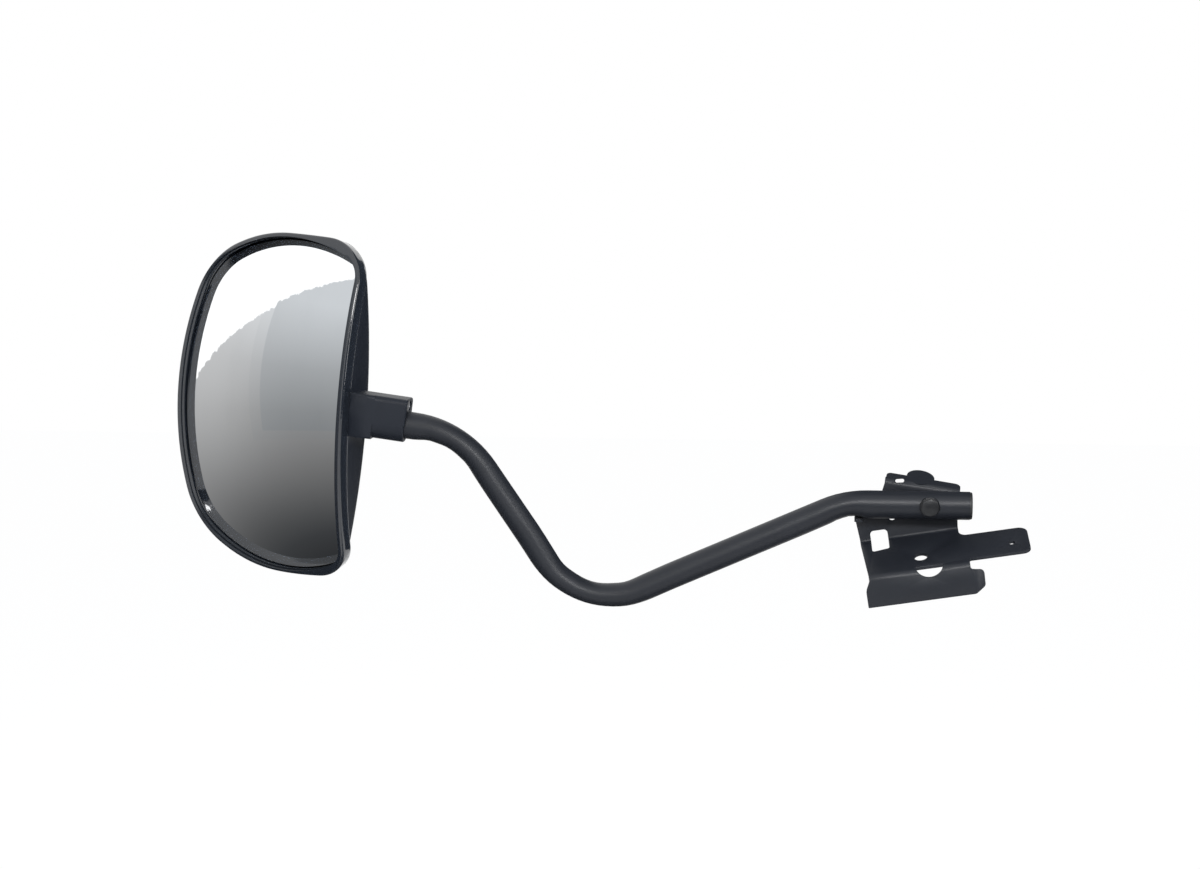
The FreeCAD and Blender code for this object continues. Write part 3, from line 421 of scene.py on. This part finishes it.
@dataclass(frozen=True)
class PlatedSteel(Finish):
    """Zinc-plated or blackened steel with turning marks and mottled passivation."""

    metallic: float = 1.0
    roughness: float = 0.28
    mottle_size: float = 2.4 * MM
    line_size: float = 0.35 * MM
    speck_size: float = 0.6 * MM
    relief: float = 0.008 * MM

    def sockets(self, graph: Graph) -> dict[str, Value]:
        """Mottled plating over fine machining lines, darker in specks.

        Args:
            graph: Graph to add to.

        Returns:
            Shader sockets.
        """
        mottle = graph.noise(self.mottle_size, 4, 0.65)
        lines = graph.noise(self.line_size, 2, 0.5, (6, 1, 1))
        specks = graph.noise(self.speck_size, 3).step(0.62, 0.78)
        dulled = (mottle.step(0.35, 0.7) * 0.7 + specks * 0.3).clamp()
        colour = graph.blend(dulled, self.colour, self.tone(0.55))
        return {"Base Color": colour, "Metallic": self.metallic,
                "Roughness": self.roughness + mottle * 0.16 + specks * 0.1,
                "Normal": graph.bump(lines * 0.6 + mottle * 0.4, self.relief)}


@dataclass(frozen=True)
class SoftPolymer(Finish):
    """Matt rubber or engineering plastic with a dusty bloom and pores."""

    roughness: float = 0.62
    pore_size: float = 0.5 * MM
    pore_depth: float = 0.03 * MM
    bloom_size: float = 7 * MM

    def sockets(self, graph: Graph) -> dict[str, Value]:
        """Bloom in patches and small pores.

        Args:
            graph: Graph to add to.

        Returns:
            Shader sockets.
        """
        bloom = graph.noise(self.bloom_size, 4, 0.6)
        pores = graph.cells(self.pore_size).step(0.05, 0.4)
        colour = graph.blend((bloom.step(0.4, 0.75) * 0.8 + (1 - pores) * 0.2).clamp(), self.colour,
                             self.tone(1.5, 0.004))
        return {"Base Color": colour,
                "Roughness": self.roughness + bloom * 0.15,
                "Normal": graph.bump(pores, self.pore_depth)}


POWDER = PowderCoat("black_powder_coat", (0.0085, 0.0100, 0.0135))
SHELL = GrainedPlastic("shell_grained_plastic", (0.0070, 0.0090, 0.0135))
BEZEL = GlossPlastic("bezel_gloss_plastic", (0.009, 0.0115, 0.016))
MIRROR = MirrorGlass("silvered_glass", (0.93, 0.94, 0.95))
BLACK_STEEL = PlatedSteel("blackened_steel", (0.016, 0.017, 0.019), 0.35, 0.24)
ZINC = PlatedSteel("zinc_plated_steel", (0.52, 0.53, 0.55))
CARRIER = GrainedPlastic("carrier_plastic", (0.11, 0.115, 0.12), 0.5, 0.8 * MM)
CAP = SoftPolymer("cap_rubber", (0.011, 0.0115, 0.0125), 0.5)
BUSH = SoftPolymer("bush_polymer", (0.035, 0.034, 0.032), 0.45, 0.3 * MM, 0.01 * MM)
FOAM = SoftPolymer("adhesive_foam_finish", (0.03, 0.03, 0.032), 0.8, 0.35 * MM, 0.08 * MM)

FINISHES: dict[Slot, Finish] = {
    Slot.POWDER: POWDER, Slot.SHELL: SHELL, Slot.BEZEL: BEZEL, Slot.MIRROR: MIRROR,
    Slot.BLACK_FASTENER: BLACK_STEEL, Slot.ZINC: ZINC, Slot.CARRIER: CARRIER, Slot.CAP: CAP,
    Slot.BUSH: BUSH, Slot.FOAM: FOAM}


# ------------------------------------------------------------------- modelling


def only(piece: bpy.types.Object) -> None:
    """Selects one object and nothing else, and makes it active.

    Args:
        piece: Object to select.
    """
    bpy.ops.object.select_all(action="DESELECT")
    piece.select_set(True)
    bpy.context.view_layer.objects.active = piece


def edit(piece: bpy.types.Object, work: Callable[[], None]) -> None:
    """Runs operators in edit mode with everything selected.

    Args:
        piece: Mesh object to edit.
        work: Operators to run.
    """
    only(piece)
    bpy.ops.object.mode_set(mode="EDIT")
    bpy.ops.mesh.select_all(action="SELECT")
    work()
    bpy.ops.object.mode_set(mode="OBJECT")


def applied(piece: bpy.types.Object, kind: str, **settings: object) -> None:
    """Adds a modifier, sets it and applies it.

    Args:
        piece: Mesh object.
        kind: Type of the modifier.
        settings: Its properties.
    """
    only(piece)
    modifier = piece.modifiers.new(kind.lower(), kind)
    for name, value in settings.items():
        setattr(modifier, name, value)
    bpy.ops.object.modifier_apply(modifier=modifier.name)


def smooth(piece: bpy.types.Object) -> None:
    """Shades smooth except across sharp edges."""
    only(piece)
    bpy.ops.object.shade_smooth_by_angle(angle=SHARP_ANGLE)


def dress(piece: bpy.types.Object, finish: Finish) -> None:
    """Gives a piece one finish all over.

    Args:
        piece: Object to dress.
        finish: Its finish.
    """
    material = finish.material()
    if not piece.material_slots:
        piece.data.materials.append(material)
    for slot in piece.material_slots:
        slot.material = material


def merged_copy(node: str, name: str) -> bpy.types.Object:
    """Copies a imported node's mesh and merges its loose triangles.

    Args:
        node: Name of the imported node.
        name: Name of the new piece.

    Returns:
        The new piece, without a finish.
    """
    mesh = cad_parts[node].data.copy()
    mesh.materials.clear()
    piece = bpy.data.objects.new(name, mesh)
    bpy.context.scene.collection.objects.link(piece)
    only(piece)
    bpy.ops.mesh.customdata_custom_splitnormals_clear()

    def clean() -> None:
        """Merges what lies together and turns the faces outwards."""
        bpy.ops.mesh.remove_doubles(threshold=MERGE_DISTANCE)
        bpy.ops.mesh.normals_make_consistent(inside=False)

    edit(piece, clean)
    return piece


def softened(node: str, name: str, width: float) -> bpy.types.Object:
    """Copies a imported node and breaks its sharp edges.

    Args:
        node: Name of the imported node.
        name: Name of the new piece.
        width: Width of the broken edges in metres.

    Returns:
        The new piece.
    """
    piece = merged_copy(node, name)
    edit(piece, lambda: bpy.ops.mesh.dissolve_limited(angle_limit=FLAT_ANGLE))
    applied(piece, "BEVEL", width=width, segments=EDGE_STEPS, limit_method="ANGLE", angle_limit=BROKEN_ANGLE,
            use_clamp_overlap=True, harden_normals=False, miter_outer="MITER_ARC")
    applied(piece, "TRIANGULATE")
    smooth(piece)
    return piece


@dataclass
class Assembly:
    """A sub-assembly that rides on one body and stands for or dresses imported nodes."""

    body: Body
    made: list[str] = field(default_factory=list)

    def place(self, piece: bpy.types.Object, slot: Slot, nodes: Iterable[str] = ()) -> None:
        """Ties a finished piece to its body, slot and nodes.

        Args:
            piece: Finished piece.
            slot: Material slot that it takes its finish from.
            nodes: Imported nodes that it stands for.
        """
        dress(piece, FINISHES[slot])
        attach(piece, self.body.value)
        for node in nodes:
            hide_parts(node)
        self.made.append(piece.name)

    def keep(self, nodes: dict[str, Slot]) -> None:
        """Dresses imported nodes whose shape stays.

        Args:
            nodes: Slot of each node.
        """
        for node, slot in nodes.items():
            dress(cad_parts[node], FINISHES[slot])
            self.made.append(node)

    def build(self) -> None:
        """Makes the sub-assembly's pieces."""
        raise NotImplementedError

    def report(self) -> None:
        """Logs what was made."""
        LOG.info("%s: %s", self.body.value, ", ".join(self.made))


@dataclass
class Bracket(Assembly):
    """Folded sheet bracket with its pivot bolt, washers and nut."""

    body: Body = Body.BRACKET
    sheet_edge: float = 0.45 * MM
    fastener_edge: float = 0.3 * MM

    def build(self) -> None:
        """Breaks the sheet's cut edges and the fasteners' corners."""
        plate = softened("bracket_plate", "bracket_sheet", self.sheet_edge)
        self.place(plate, Slot.POWDER, ["bracket_plate"])
        bolt = softened("pivot_bolt", "pivot_bolt_dressed", self.fastener_edge)
        self.place(bolt, Slot.BLACK_FASTENER, ["pivot_bolt"])
        nut = softened("pivot_nut", "pivot_nut_dressed", self.fastener_edge)
        self.place(nut, Slot.BLACK_FASTENER, ["pivot_nut"])
        self.keep({"rear_washer": Slot.BLACK_FASTENER, "spring_washer": Slot.BLACK_FASTENER,
                   "friction_washer": Slot.BUSH})


def onward(heading: float) -> Vector:
    """Direction along the tube, away from the bracket, in the arm's plane."""
    return Vector((-math.cos(heading), -math.sin(heading)))


def upward(heading: float) -> Vector:
    """Direction square to the tube in the arm's plane."""
    return Vector((-math.sin(heading), math.cos(heading)))


@dataclass(frozen=True)
class Stretch:
    """A run or a bend of the tube's centre line, with what pressing takes off above and below it."""

    start: Vector
    heading: float
    length: float
    turn: float
    losses: tuple[tuple[float, float, float], ...]

    def station(self, point: Vector) -> tuple[float, Vector, Vector]:
        """Nearest place on the centre line.

        Args:
            point: Point in the arm's plane.

        Returns:
            Share of the stretch, the place, and the direction square to the line there.
        """
        if not self.turn:
            ahead = onward(self.heading)
            share = (point - self.start).dot(ahead) / self.length
            return share, self.start + ahead * (share * self.length), upward(self.heading)
        side = self.length / self.turn
        middle = self.start - upward(self.heading) * side
        spoke = (point - middle) * math.copysign(1, side)
        angle = math.atan2(-spoke.x, spoke.y)
        return (angle - self.heading) / self.turn, middle + upward(angle) * side, upward(angle)

    def loss(self, share: float) -> tuple[float, float]:
        """Shares of the radius lost above and below, eased between the table's lines.

        Args:
            share: 0 at the stretch's start, 1 at its end.

        Returns:
            The losses above and below.
        """
        for (low, *before), (high, *after) in zip(self.losses, self.losses[1:]):
            if share <= high:
                step = max(0.0, (share - low) / (high - low))
                step = step * step * (3 - 2 * step)
                above, below = (a + (b - a) * step for a, b in zip(before, after))
                return above, below
        return self.losses[-1][1], self.losses[-1][2]


@dataclass
class Arm(Assembly):
    """Bent tube, pressed flatter inside its bends, with its plugs and bush.

    The corners of the centre line are given as x and z. Each of the losses belongs to a run or a bend, and
    each of its lines holds a share of the length and the shares of the radius lost above and below there.
    """

    body: Body = Body.ARM
    level: float = 18.161 * MM
    radius: float = 11 * MM
    wall: float = 2 * MM
    corners: tuple[tuple[float, float], ...] = ((37.275 * MM, 39.65 * MM), (-58.325 * MM, 39.65 * MM),
                                                (-266.021 * MM, -51.955 * MM), (-364.075 * MM, 91.786 * MM),
                                                (-442.362 * MM, 102.371 * MM))
    bend_radii: tuple[float, ...] = (80 * MM, 69.5 * MM, 80 * MM)
    losses: tuple[tuple[tuple[float, float, float], ...], ...] = (
        ((0, 0, 0), (1, 0, 0)),
        ((0, 0, 0), (0.3, 0, 0.22), (0.5, 0, 0.27), (0.8, 0, 0.22), (1, 0, 0.16)),
        ((0, 0, 0.16), (0.15, 0, 0.13), (0.85, 0, 0.13), (1, 0.04, 0.10)),
        ((0, 0.04, 0.10), (0.25, 0.27, 0.02), (0.5, 0.41, 0), (0.75, 0.31, 0.02), (1, 0.06, 0.07)),
        ((0, 0.06, 0.07), (0.2, 0, 0.11), (0.8, 0, 0.12), (1, 0, 0.15)),
        ((0, 0, 0.15), (0.25, 0, 0.29), (0.5, 0, 0.345), (0.75, 0, 0.25), (1, 0, 0.03)),
        ((0, 0, 0.03), (0.1, 0, 0), (1, 0, 0)))
    long_runs: tuple[int, ...] = (2, 4)
    cuts: int = 8
    slack: float = 0.02

    def stretches(self) -> list[Stretch]:
        """Runs and bends of the centre line in order from the free end.

        Returns:
            The stretches with their losses.
        """
        corners = [Vector(corner) for corner in self.corners]
        steps = [b - a for a, b in zip(corners, corners[1:])]
        headings = [math.atan2(-step.y, -step.x) for step in steps]
        turns = [b - a for a, b in zip(headings, headings[1:])]
        spans = [0.0, *(r * math.tan(abs(t) / 2) for r, t in zip(self.bend_radii, turns)), 0.0]
        line = []
        for i, (corner, heading, step) in enumerate(zip(corners, headings, steps)):
            start = corner + onward(heading) * spans[i]
            length = step.length - spans[i] - spans[i + 1]
            line.append(Stretch(start, heading, length, 0.0, self.losses[2 * i]))
            if i < len(turns):
                bend = self.bend_radii[i] * abs(turns[i])
                corner_start = start + onward(heading) * length
                line.append(Stretch(corner_start, heading, bend, turns[i], self.losses[2 * i + 1]))
        return line

    def pressed(self) -> bpy.types.Object:
        """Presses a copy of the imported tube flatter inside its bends.

        Returns:
            The tube, with its ends as packed.
        """
        tube = merged_copy("arm_tube", "arm_tube_pressed")
        line = self.stretches()

        def rings() -> None:
            """Cuts rings of edges across the long runs, so that they can be shaped."""
            for run in (line[number] for number in self.long_runs):
                for i in range(1, self.cuts):
                    ahead = onward(run.heading)
                    place = run.start + ahead * (run.length * i / self.cuts)
                    bpy.ops.mesh.select_all(action="SELECT")
                    bpy.ops.mesh.bisect(plane_co=(place.x, self.level, place.y),
                                        plane_no=(ahead.x, 0, ahead.y))

        edit(tube, rings)
        for vertex in tube.data.vertices:
            self.press(vertex, line)
        tube.data.update()
        smooth(tube)
        return tube

    def press(self, vertex: bpy.types.MeshVertex, line: list[Stretch]) -> None:
        """Moves a point of the tube towards the centre line by what pressing takes off there.

        Args:
            vertex: Point of the tube's mesh.
            line: Stretches of the centre line.
        """
        point = Vector((vertex.co.x, vertex.co.z))
        found = [(*stretch.station(point), stretch) for stretch in line]
        near = [item for item in found if -self.slack <= item[0] <= 1 + self.slack]
        if not near:
            return
        share, middle, across, stretch = min(near, key=lambda item: (point - item[1]).length)
        above, below = stretch.loss(share)
        offset = point - middle
        rise = offset.dot(across)
        inner = math.hypot(rise, vertex.co.y - self.level) < self.radius - self.wall / 2
        wall = self.wall if inner else 0.0
        height = (self.radius * (1 - (above + below) / 2) - wall) / (self.radius - wall)
        shift = self.radius * (below - above) / 2
        vertex.co.x, vertex.co.z = point + across * (rise * (height - 1) + shift)

    def build(self) -> None:
        """Makes the pressed tube and dresses the parts pressed into it."""
        self.place(self.pressed(), Slot.POWDER, ["arm_tube"])
        self.keep({"pivot_bush": Slot.BUSH, "tube_end_cap": Slot.CAP, "tube_inner_plug": Slot.CAP})


@dataclass
class Head(Assembly):
    """Mirror head: shell, bezel, glass on its carrier, and the clamp on the tube."""

    body: Body = Body.HEAD
    moulding_edge: float = 0.5 * MM
    screw_edge: float = 0.15 * MM

    def build(self) -> None:
        """Softens the mouldings' edges and dresses the glass, carrier and clamp."""
        shell = softened("head_shell", "shell_moulding", self.moulding_edge)
        self.place(shell, Slot.SHELL, ["head_shell"])
        bezel = softened("bezel", "bezel_moulding", self.moulding_edge)
        self.place(bezel, Slot.BEZEL, ["bezel"])
        screw = softened("clamp_screw", "clamp_screw_dressed", self.screw_edge)
        self.place(screw, Slot.ZINC, ["clamp_screw"])
        self.keep({"mirror_glass": Slot.MIRROR, "glass_adhesive": Slot.FOAM, "glass_carrier": Slot.CARRIER,
                   "carrier_screws": Slot.ZINC, "clamp_wedge": Slot.ZINC, "clamp_nut": Slot.ZINC,
                   "clamp_washer": Slot.ZINC})


# ---------------------------------------------------------------------- studio


@dataclass(frozen=True)
class Lamp:
    """Soft rectangular lamp: its place round the target, its width and height, and its power in watts."""

    name: str
    azimuth: float
    elevation: float
    distance: float
    size: tuple[float, float]
    power: float


LAMPS = (Lamp("front_softbox", 8, 27, 2.2, (2.6, 0.4), 52),
         Lamp("top_softbox", -30, 75, 2.2, (1.6, 1.6), 2),
         Lamp("right_softbox", 80, 8, 1.8, (0.7, 1.0), 9),
         Lamp("rear_softbox", 212, 32, 2.4, (1.4, 0.9), 7),
         Lamp("side_strip", -112, 12, 1.5, (0.1, 1.1), 6))
RIGHT, TOP, BACK = Vector((1, 0, 0)), Vector((0, 0, 1)), Vector((0, 1, 0))


@dataclass
class Studio:
    """Pale floor, soft lamps, reflecting cards and the camera."""

    target: Vector = field(default_factory=lambda: Vector((-0.2517, 0.0182, 0.0919)))
    azimuth: float = 6.0
    elevation: float = 7.0
    distance: float = 1.9
    focal: float = 72.4
    sensor: float = 36.0
    floor_drop: float = 0.75
    floor_size: float = 12.0
    paper: Colour = (0.86, 0.86, 0.86)
    paper_glow: float = 1.03
    paper_seen: float = 0.93
    soft_light: Colour = (0.9, 0.93, 1.0)
    soft_strength: float = 0.6
    mirror_card_radius: float = 0.72
    mirror_card_reach: float = 0.3
    flag_radius: float = 1.6
    front_flag_radius: float = 3.2
    flag_reach: float = 0.6
    flag_gap: float = 0.1
    low_flag_drop: float = 2.2
    low_flag_front: float = 0.25

    def direction(self, azimuth: float, elevation: float) -> Vector:
        """Unit vector towards a place seen at an azimuth and elevation in degrees."""
        turn, rise = math.radians(azimuth), math.radians(elevation)
        return Vector((math.sin(turn) * math.cos(rise), -math.cos(turn) * math.cos(rise), math.sin(rise)))

    def camera(self) -> None:
        """Sets the camera on the target from its azimuth and elevation."""
        lens = bpy.data.cameras.new("camera")
        lens.sensor_width = self.sensor
        lens.lens = self.focal
        lens.clip_start = 0.05
        lens.clip_end = 50
        holder = bpy.data.objects.new("camera", lens)
        back = self.direction(self.azimuth, self.elevation)
        holder.location = self.target + back * self.distance
        holder.rotation_euler = (-back).to_track_quat("-Z", "Y").to_euler()
        bpy.context.scene.collection.objects.link(holder)
        bpy.context.scene.camera = holder

    def light(self, lamp: Lamp) -> None:
        """Stands a lamp in its place, facing the target.

        Args:
            lamp: Lamp to stand.
        """
        made = bpy.data.lights.new(lamp.name, "AREA")
        made.shape = "RECTANGLE"
        made.size, made.size_y = lamp.size
        made.energy = lamp.power
        holder = bpy.data.objects.new(lamp.name, made)
        back = self.direction(lamp.azimuth, lamp.elevation)
        holder.location = self.target + back * lamp.distance
        holder.rotation_euler = (-back).to_track_quat("-Z", "Y").to_euler()
        bpy.context.scene.collection.objects.link(holder)

    def floor(self) -> None:
        """Lays a pale floor that keeps the object's shadow and is white to the camera."""
        bpy.ops.object.select_all(action="DESELECT")
        bpy.ops.mesh.primitive_plane_add(size=self.floor_size,
                                         location=(self.target.x, 0, self.target.z - self.floor_drop))
        plane = bpy.context.object
        plane.name = "floor"
        made = bpy.data.materials.new("floor_paper")
        made.use_nodes = True
        graph = Graph(made.node_tree)
        matt = graph.node("ShaderNodeBsdfDiffuse", {}, {"Color": self.paper})[0]
        lit = graph.node("ShaderNodeEmission", {}, {"Color": (1.0, 1.0, 1.0), "Strength": self.paper_glow})[0]
        seen = self.seen_rays(graph)
        mixed = graph.node("ShaderNodeMixShader", {}, {0: seen * self.paper_seen, 1: matt, 2: lit})[0]
        graph.node("ShaderNodeOutputMaterial", {}, {"Surface": mixed})
        plane.data.materials.append(made)

    @staticmethod
    def seen_rays(graph: Graph) -> Wire:
        """1 for camera, glossy and transmission rays, else 0."""
        path = graph.tree.nodes.new("ShaderNodeLightPath")
        camera, glossy, through = (Wire(graph, path.outputs[name]) for name in
                                   ("Is Camera Ray", "Is Glossy Ray", "Is Transmission Ray"))
        return camera.maximum(glossy).maximum(through)

    def world(self) -> None:
        """Plain soft surroundings, white where they are seen."""
        world = bpy.data.worlds.new("studio")
        world.use_nodes = True
        bpy.context.scene.world = world
        graph = Graph(world.node_tree)
        soft = graph.node("ShaderNodeBackground", {},
                          {"Color": self.soft_light, "Strength": self.soft_strength})[0]
        white = graph.node("ShaderNodeBackground", {}, {"Color": (1.0, 1.0, 1.0), "Strength": 1.0})[0]
        mixed = graph.node("ShaderNodeMixShader", {}, {0: self.seen_rays(graph), 1: soft, 2: white})[0]
        graph.node("ShaderNodeOutputWorld", {}, {"Surface": mixed})

    def card(self, name: str, middle: Vector, radius: float, cuts: list[tuple[Vector, Vector]],
             shade: Callable[[Graph, Vector, float], Wire]) -> None:
        """Stands a curved card that only shiny surfaces see, as a studio shades a mirror.

        Args:
            name: Name of the card.
            middle: Middle of the ball that the card is cut from.
            radius: Radius of the ball.
            cuts: Points and directions of planes; what lies beyond a plane goes.
            shade: Gives the card's colour from its graph, middle and radius.
        """
        bpy.ops.object.select_all(action="DESELECT")
        bpy.ops.mesh.primitive_uv_sphere_add(segments=96, ring_count=48, radius=radius, location=middle)
        sheet = bpy.context.object
        sheet.name = name
        bpy.ops.object.transform_apply(location=True, rotation=True, scale=True)

        def trim() -> None:
            """Cuts the ball down to the card."""
            for point, direction in cuts:
                bpy.ops.mesh.select_all(action="SELECT")
                bpy.ops.mesh.bisect(plane_co=point, plane_no=direction, clear_outer=True)

        edit(sheet, trim)
        made = bpy.data.materials.new(name)
        made.use_nodes = True
        graph = Graph(made.node_tree)
        colour = shade(graph, middle, radius)
        lit = graph.node("ShaderNodeEmission", {}, {"Color": colour, "Strength": 1.0})[0]
        graph.node("ShaderNodeOutputMaterial", {}, {"Surface": lit})
        sheet.data.materials.append(made)
        for ray in ("camera", "diffuse", "transmission", "volume_scatter", "shadow"):
            setattr(sheet, f"visible_{ray}", False)

    @staticmethod
    def yard(graph: Graph, middle: Vector, radius: float) -> Wire:
        """Pale sky over a grey yard with a cooler opening at one side, and a bright panel in front.

        The glass shows the yard and the sky. The panel only shows in the bezel's inner wall. Heights and
        distances are shares of the ball's radius from its middle.

        Args:
            graph: Graph of the card.
            middle: Middle of the card's ball.
            radius: Radius of the ball.

        Returns:
            The card's colour.
        """
        across, back, up = graph.axes()
        left, behind = (middle.x - across) / radius, (back - middle.y) / radius
        rise = (up - middle.z) / radius
        ground = graph.node("ShaderNodeValToRGB", {"stops": [
            (0.04, (0.022, 0.023, 0.025)), (0.10, (0.045, 0.047, 0.050)), (0.26, (0.165, 0.165, 0.165)),
            (0.44, (0.30, 0.30, 0.30)), (0.58, (0.46, 0.465, 0.47)), (0.78, (0.80, 0.82, 0.84))]},
            {"Fac": rise * 0.5 + 0.5})[0]
        haze = behind.step(-0.8, 0.1) * rise.step(-0.75, 0.1)
        ground = graph.blend(haze * 0.45, ground, (0.72, 0.72, 0.72))
        blur = 0.012
        outer_edge, inner_edge = 0.40, 0.52
        for edge, sill, depth in ((outer_edge, -0.30, 0.06), (inner_edge, -0.247, 0.2)):
            opening = (0 - behind - left * edge).step(0, blur) * (rise - sill).step(0, blur)
            ground = graph.blend(opening * depth, ground, (0.16, 0.20, 0.23))
        treetops = (graph.noise(0.03, 4, 0.7) - 0.5) * 0.07
        lifted = (0 - behind - left * inner_edge).step(0, blur) * 0.03
        skyline = 0.12
        sky = (rise + behind * 0.88 + treetops - lifted).step(skyline, skyline + blur)
        panel = (0.3 - left).step(0, 0.3) * (0 - behind).step(0.2, 0.3)
        return graph.blend(sky.maximum(panel), ground, (1.15, 1.15, 1.15))

    @staticmethod
    def dusk(graph: Graph, middle: Vector, radius: float) -> Wire:
        """Dark cloth that pales towards the top.

        Args:
            graph: Graph of the card.
            middle: Middle of the card's ball.
            radius: Radius of the ball.

        Returns:
            The card's colour.
        """
        rise = (graph.axes()[2] - middle.z) / radius
        return graph.node("ShaderNodeValToRGB", {"stops": [
            (0.0, (0.03, 0.034, 0.042)), (0.6, (0.06, 0.07, 0.09)), (0.9, (0.12, 0.125, 0.13))]},
            {"Fac": rise * 0.5 + 0.5})[0]

    @staticmethod
    def head_middle() -> Vector:
        """Middle of the glass."""
        low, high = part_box("mirror_glass")
        return (Vector(low) + Vector(high)) / 2

    def build(self) -> None:
        """Sets up everything that isn't the object."""
        bpy.context.scene.view_settings.view_transform = "Standard"
        self.camera()
        self.floor()
        self.world()
        for lamp in LAMPS:
            self.light(lamp)
        self.cards()

    def cards(self) -> None:
        """Stands the yard round the mirror head, and dark cloths behind, in front of and below the object."""
        head = self.head_middle()
        edge = head + RIGHT * self.mirror_card_reach
        self.card("mirror_card", head, self.mirror_card_radius, [(edge, RIGHT)], self.yard)
        gap = self.target - BACK * self.flag_gap
        foot, crown = self.target - TOP * self.flag_reach, self.target + TOP * self.flag_reach
        self.card("back_flag", self.target, self.flag_radius, [(gap, -BACK), (foot, -TOP)], self.dusk)
        self.card("front_flag", self.target, self.front_flag_radius, [(gap, BACK), (crown, TOP)], self.dusk)
        self.card("low_flag", self.target - TOP * self.low_flag_drop, self.flag_radius,
                  [(self.target - BACK * self.low_flag_front, -BACK)], self.dusk)


def main() -> None:
    """Builds the studio and the sub-assemblies in order."""
    logging.basicConfig(level=logging.INFO, format="%(name)s %(message)s")
    Studio().build()
    for assembly in (Bracket(), Arm(), Head()):
        assembly.build()
        assembly.report()


if __name__ == "__main__":
    main()
